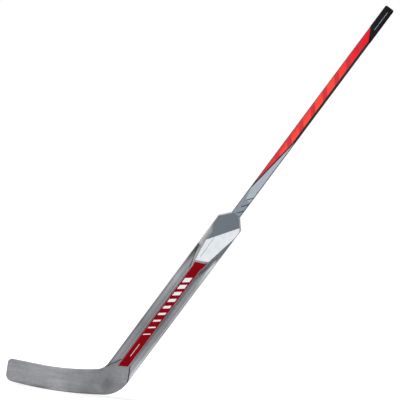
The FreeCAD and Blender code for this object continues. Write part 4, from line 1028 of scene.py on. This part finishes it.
class STICK_OT_films(bpy.types.Operator):
    """Printed films on both faces"""
    bl_idname = "stick.films"
    bl_label = "Films"

    def execute(self, context):
        band, panel = band_film(context.scene), panel_film(context.scene)
        for face in ("front", "back"):
            spine, shoulder = f"spine_film_{face}", f"shoulder_film_{face}"
            dress(welded(spine), f"spine_band_{face}", spine, band)
            dress(welded(shoulder), f"shoulder_panel_{face}", shoulder, panel)
        return {"FINISHED"}


class STICK_OT_cores(bpy.types.Operator):
    """Foam, blocks and rib inside the stick"""
    bl_idname = "stick.cores"
    bl_label = "Cores"

    def execute(self, context):
        scene, colours, grains = context.scene, context.scene.stick_colours, context.scene.stick_grains
        foam = inner_stuff(scene, "core_foam", colours.foam, grains.foam_cell, grains.foam_relief)
        filler = inner_stuff(scene, "filler_block", colours.filler, grains.filler_cell, grains.filler_relief)
        carbon = inner_stuff(scene, "rib_laminate", colours.carbon, grains.carbon_cell, grains.carbon_relief)
        stuff = {
            foam: ("wing_core_toe_side", "wing_core_heel_side", "blade_core_lower", "blade_core_upper"),
            filler: ("shoulder_block_toe_side", "shoulder_block_heel_side", "heel_block"),
            carbon: ("blade_rib",)}
        for material, nodes in stuff.items():
            for node in nodes:
                frame["nodes"][node].material_slots[0].material = material
        return {"FINISHED"}


class STICK_OT_stage(bpy.types.Operator):
    """Pale floor, soft lamps and the camera"""
    bl_idname = "stick.stage"
    bl_label = "Stage"

    def execute(self, context):
        stage = context.scene.stick_stage
        make_floor(context.scene, stage)
        make_world(context.scene, stage)
        place = Vector(stage.key_place)
        make_lamp(context.scene, "key_lamp", place, stage.key_power, stage.key_size)
        behind = Vector((-place.x, -place.y, place.z))
        make_lamp(context.scene, "back_lamp", behind, stage.back_power, stage.key_size)
        make_camera(context.scene, stage)
        context.scene.view_settings.view_transform = "Standard"
        return {"FINISHED"}


# Stage


def make_floor(scene, stage):
    """A wide floor below the stick."""
    plane = bmesh.new()
    bmesh.ops.create_grid(
        plane, x_segments=1, y_segments=1, size=stage.floor_size / 2,
        matrix=Matrix.Translation((0, 0, CAD_BOX[0].z)))
    mesh = bpy.data.meshes.new("floor")
    plane.to_mesh(mesh)
    plane.free()
    mesh.materials.append(floor_paint(stage))
    floor = bpy.data.objects.new("floor", mesh)
    scene.collection.objects.link(floor)


def floor_paint(stage):
    """Paint that looks white away from the stick and takes its soft shadow near the blade."""
    material = bpy.data.materials.new("pale_floor")
    tree = Tree(material)
    tree.nodes.clear()
    middle = (BLADE_LOW + BLADE_HIGH) / 2
    below_blade = Vector((middle.x, middle.y, CAD_BOX[0].z))
    place = tree.mapped(tree.add("TexCoord").outputs["Object"], shift=-below_blade)
    away = tree.add("VectorMath", place, operation="LENGTH").outputs["Value"]
    half_blade = (BLADE_HIGH.x - BLADE_LOW.x) / 2
    glow = tree.ramp(away, half_blade, half_blade + stage.shadow_reach, stage.floor_glow, 1.0)
    shine = tree.add("Emission")
    tree.feed(shine.inputs["Strength"], tree.times(glow, tree.seen_directly()))
    paint = tree.add("BsdfDiffuse", (stage.floor_shade,) * 3)
    both = tree.add("AddShader", paint.outputs[0], shine.outputs[0])
    tree.add("OutputMaterial", both.outputs[0])
    return material


def make_world(scene, stage):
    """White where it is seen, and an even light of the stage's strength."""
    world = bpy.data.worlds.new("studio")
    scene.world = world
    tree = Tree(world)
    tree.nodes.clear()
    white = (1, 1, 1)
    light = tree.add("Background", white, stage.ambient)
    shown = tree.add("Background", white, 1.0)
    choose = tree.add("MixShader", tree.seen_directly(), light.outputs[0], shown.outputs[0])
    tree.add("OutputWorld", choose.outputs[0])


def make_lamp(scene, name, place, watts, size):
    """A round soft lamp that looks at the stick's middle."""
    data = bpy.data.lights.new(name, "AREA")
    data.energy = watts
    data.shape = "DISK"
    data.size = size
    lamp = bpy.data.objects.new(name, data)
    lamp.location = (CAD_BOX[0] + CAD_BOX[1]) / 2 + place
    lamp.rotation_euler = (-place).to_track_quat("-Z", "Y").to_euler()
    scene.collection.objects.link(lamp)


def make_camera(scene, stage):
    """Camera square to the stick's face, rolled as the picture is."""
    data = bpy.data.cameras.new("camera")
    data.lens = stage.lens
    camera = bpy.data.objects.new("camera", data)
    away = stage.view_width * data.lens / data.sensor_width
    level = Matrix.Rotation(math.radians(90), 4, "X")
    rolled = Matrix.Rotation(-stage.roll, 4, "Y") @ level
    centre = Vector(stage.view_centre)
    camera.matrix_world = Matrix.Translation(centre - Vector((0, away, 0))) @ rolled
    scene.collection.objects.link(camera)
    scene.camera = camera


# Add-on


class STICK_PT_panel(bpy.types.Panel):
    """Settings and steps of the stick"""
    bl_idname = "STICK_PT_panel"
    bl_label = "Goalie stick"
    bl_space_type = "VIEW_3D"
    bl_region_type = "UI"
    bl_category = "Stick"

    def draw(self, context):
        layout = self.layout
        for group in SETTINGS:
            settings = getattr(context.scene, group)
            column = layout.column(align=True)
            for name in settings.__annotations__:
                column.prop(settings, name)
        for step in STEPS:
            layout.operator(step.bl_idname)


STEPS = (
    STICK_OT_shaft, STICK_OT_butt, STICK_OT_paddle, STICK_OT_blade, STICK_OT_films, STICK_OT_cores,
    STICK_OT_stage)
SETTINGS = {
    "stick_colours": StickColours, "stick_sizes": StickSizes, "paddle_spray": PaddleShadeAndSlate,
    "blade_spray": BladeShadeAndScuffs, "stick_grains": StickGrains, "stick_stage": StickStage}


def register():
    for group in (*SETTINGS.values(), *STEPS, STICK_PT_panel):
        bpy.utils.register_class(group)
    for name, group in SETTINGS.items():
        setattr(bpy.types.Scene, name, PointerProperty(type=group))


def unregister():
    for name in SETTINGS:
        delattr(bpy.types.Scene, name)
    for group in (STICK_PT_panel, *STEPS, *SETTINGS.values()):
        bpy.utils.unregister_class(group)


def main():
    register()
    bpy.ops.stick.shaft()
    bpy.ops.stick.butt()
    bpy.ops.stick.paddle()
    bpy.ops.stick.blade()
    bpy.ops.stick.films()
    bpy.ops.stick.cores()
    bpy.ops.stick.stage()


if __name__ == "__main__":
    main()
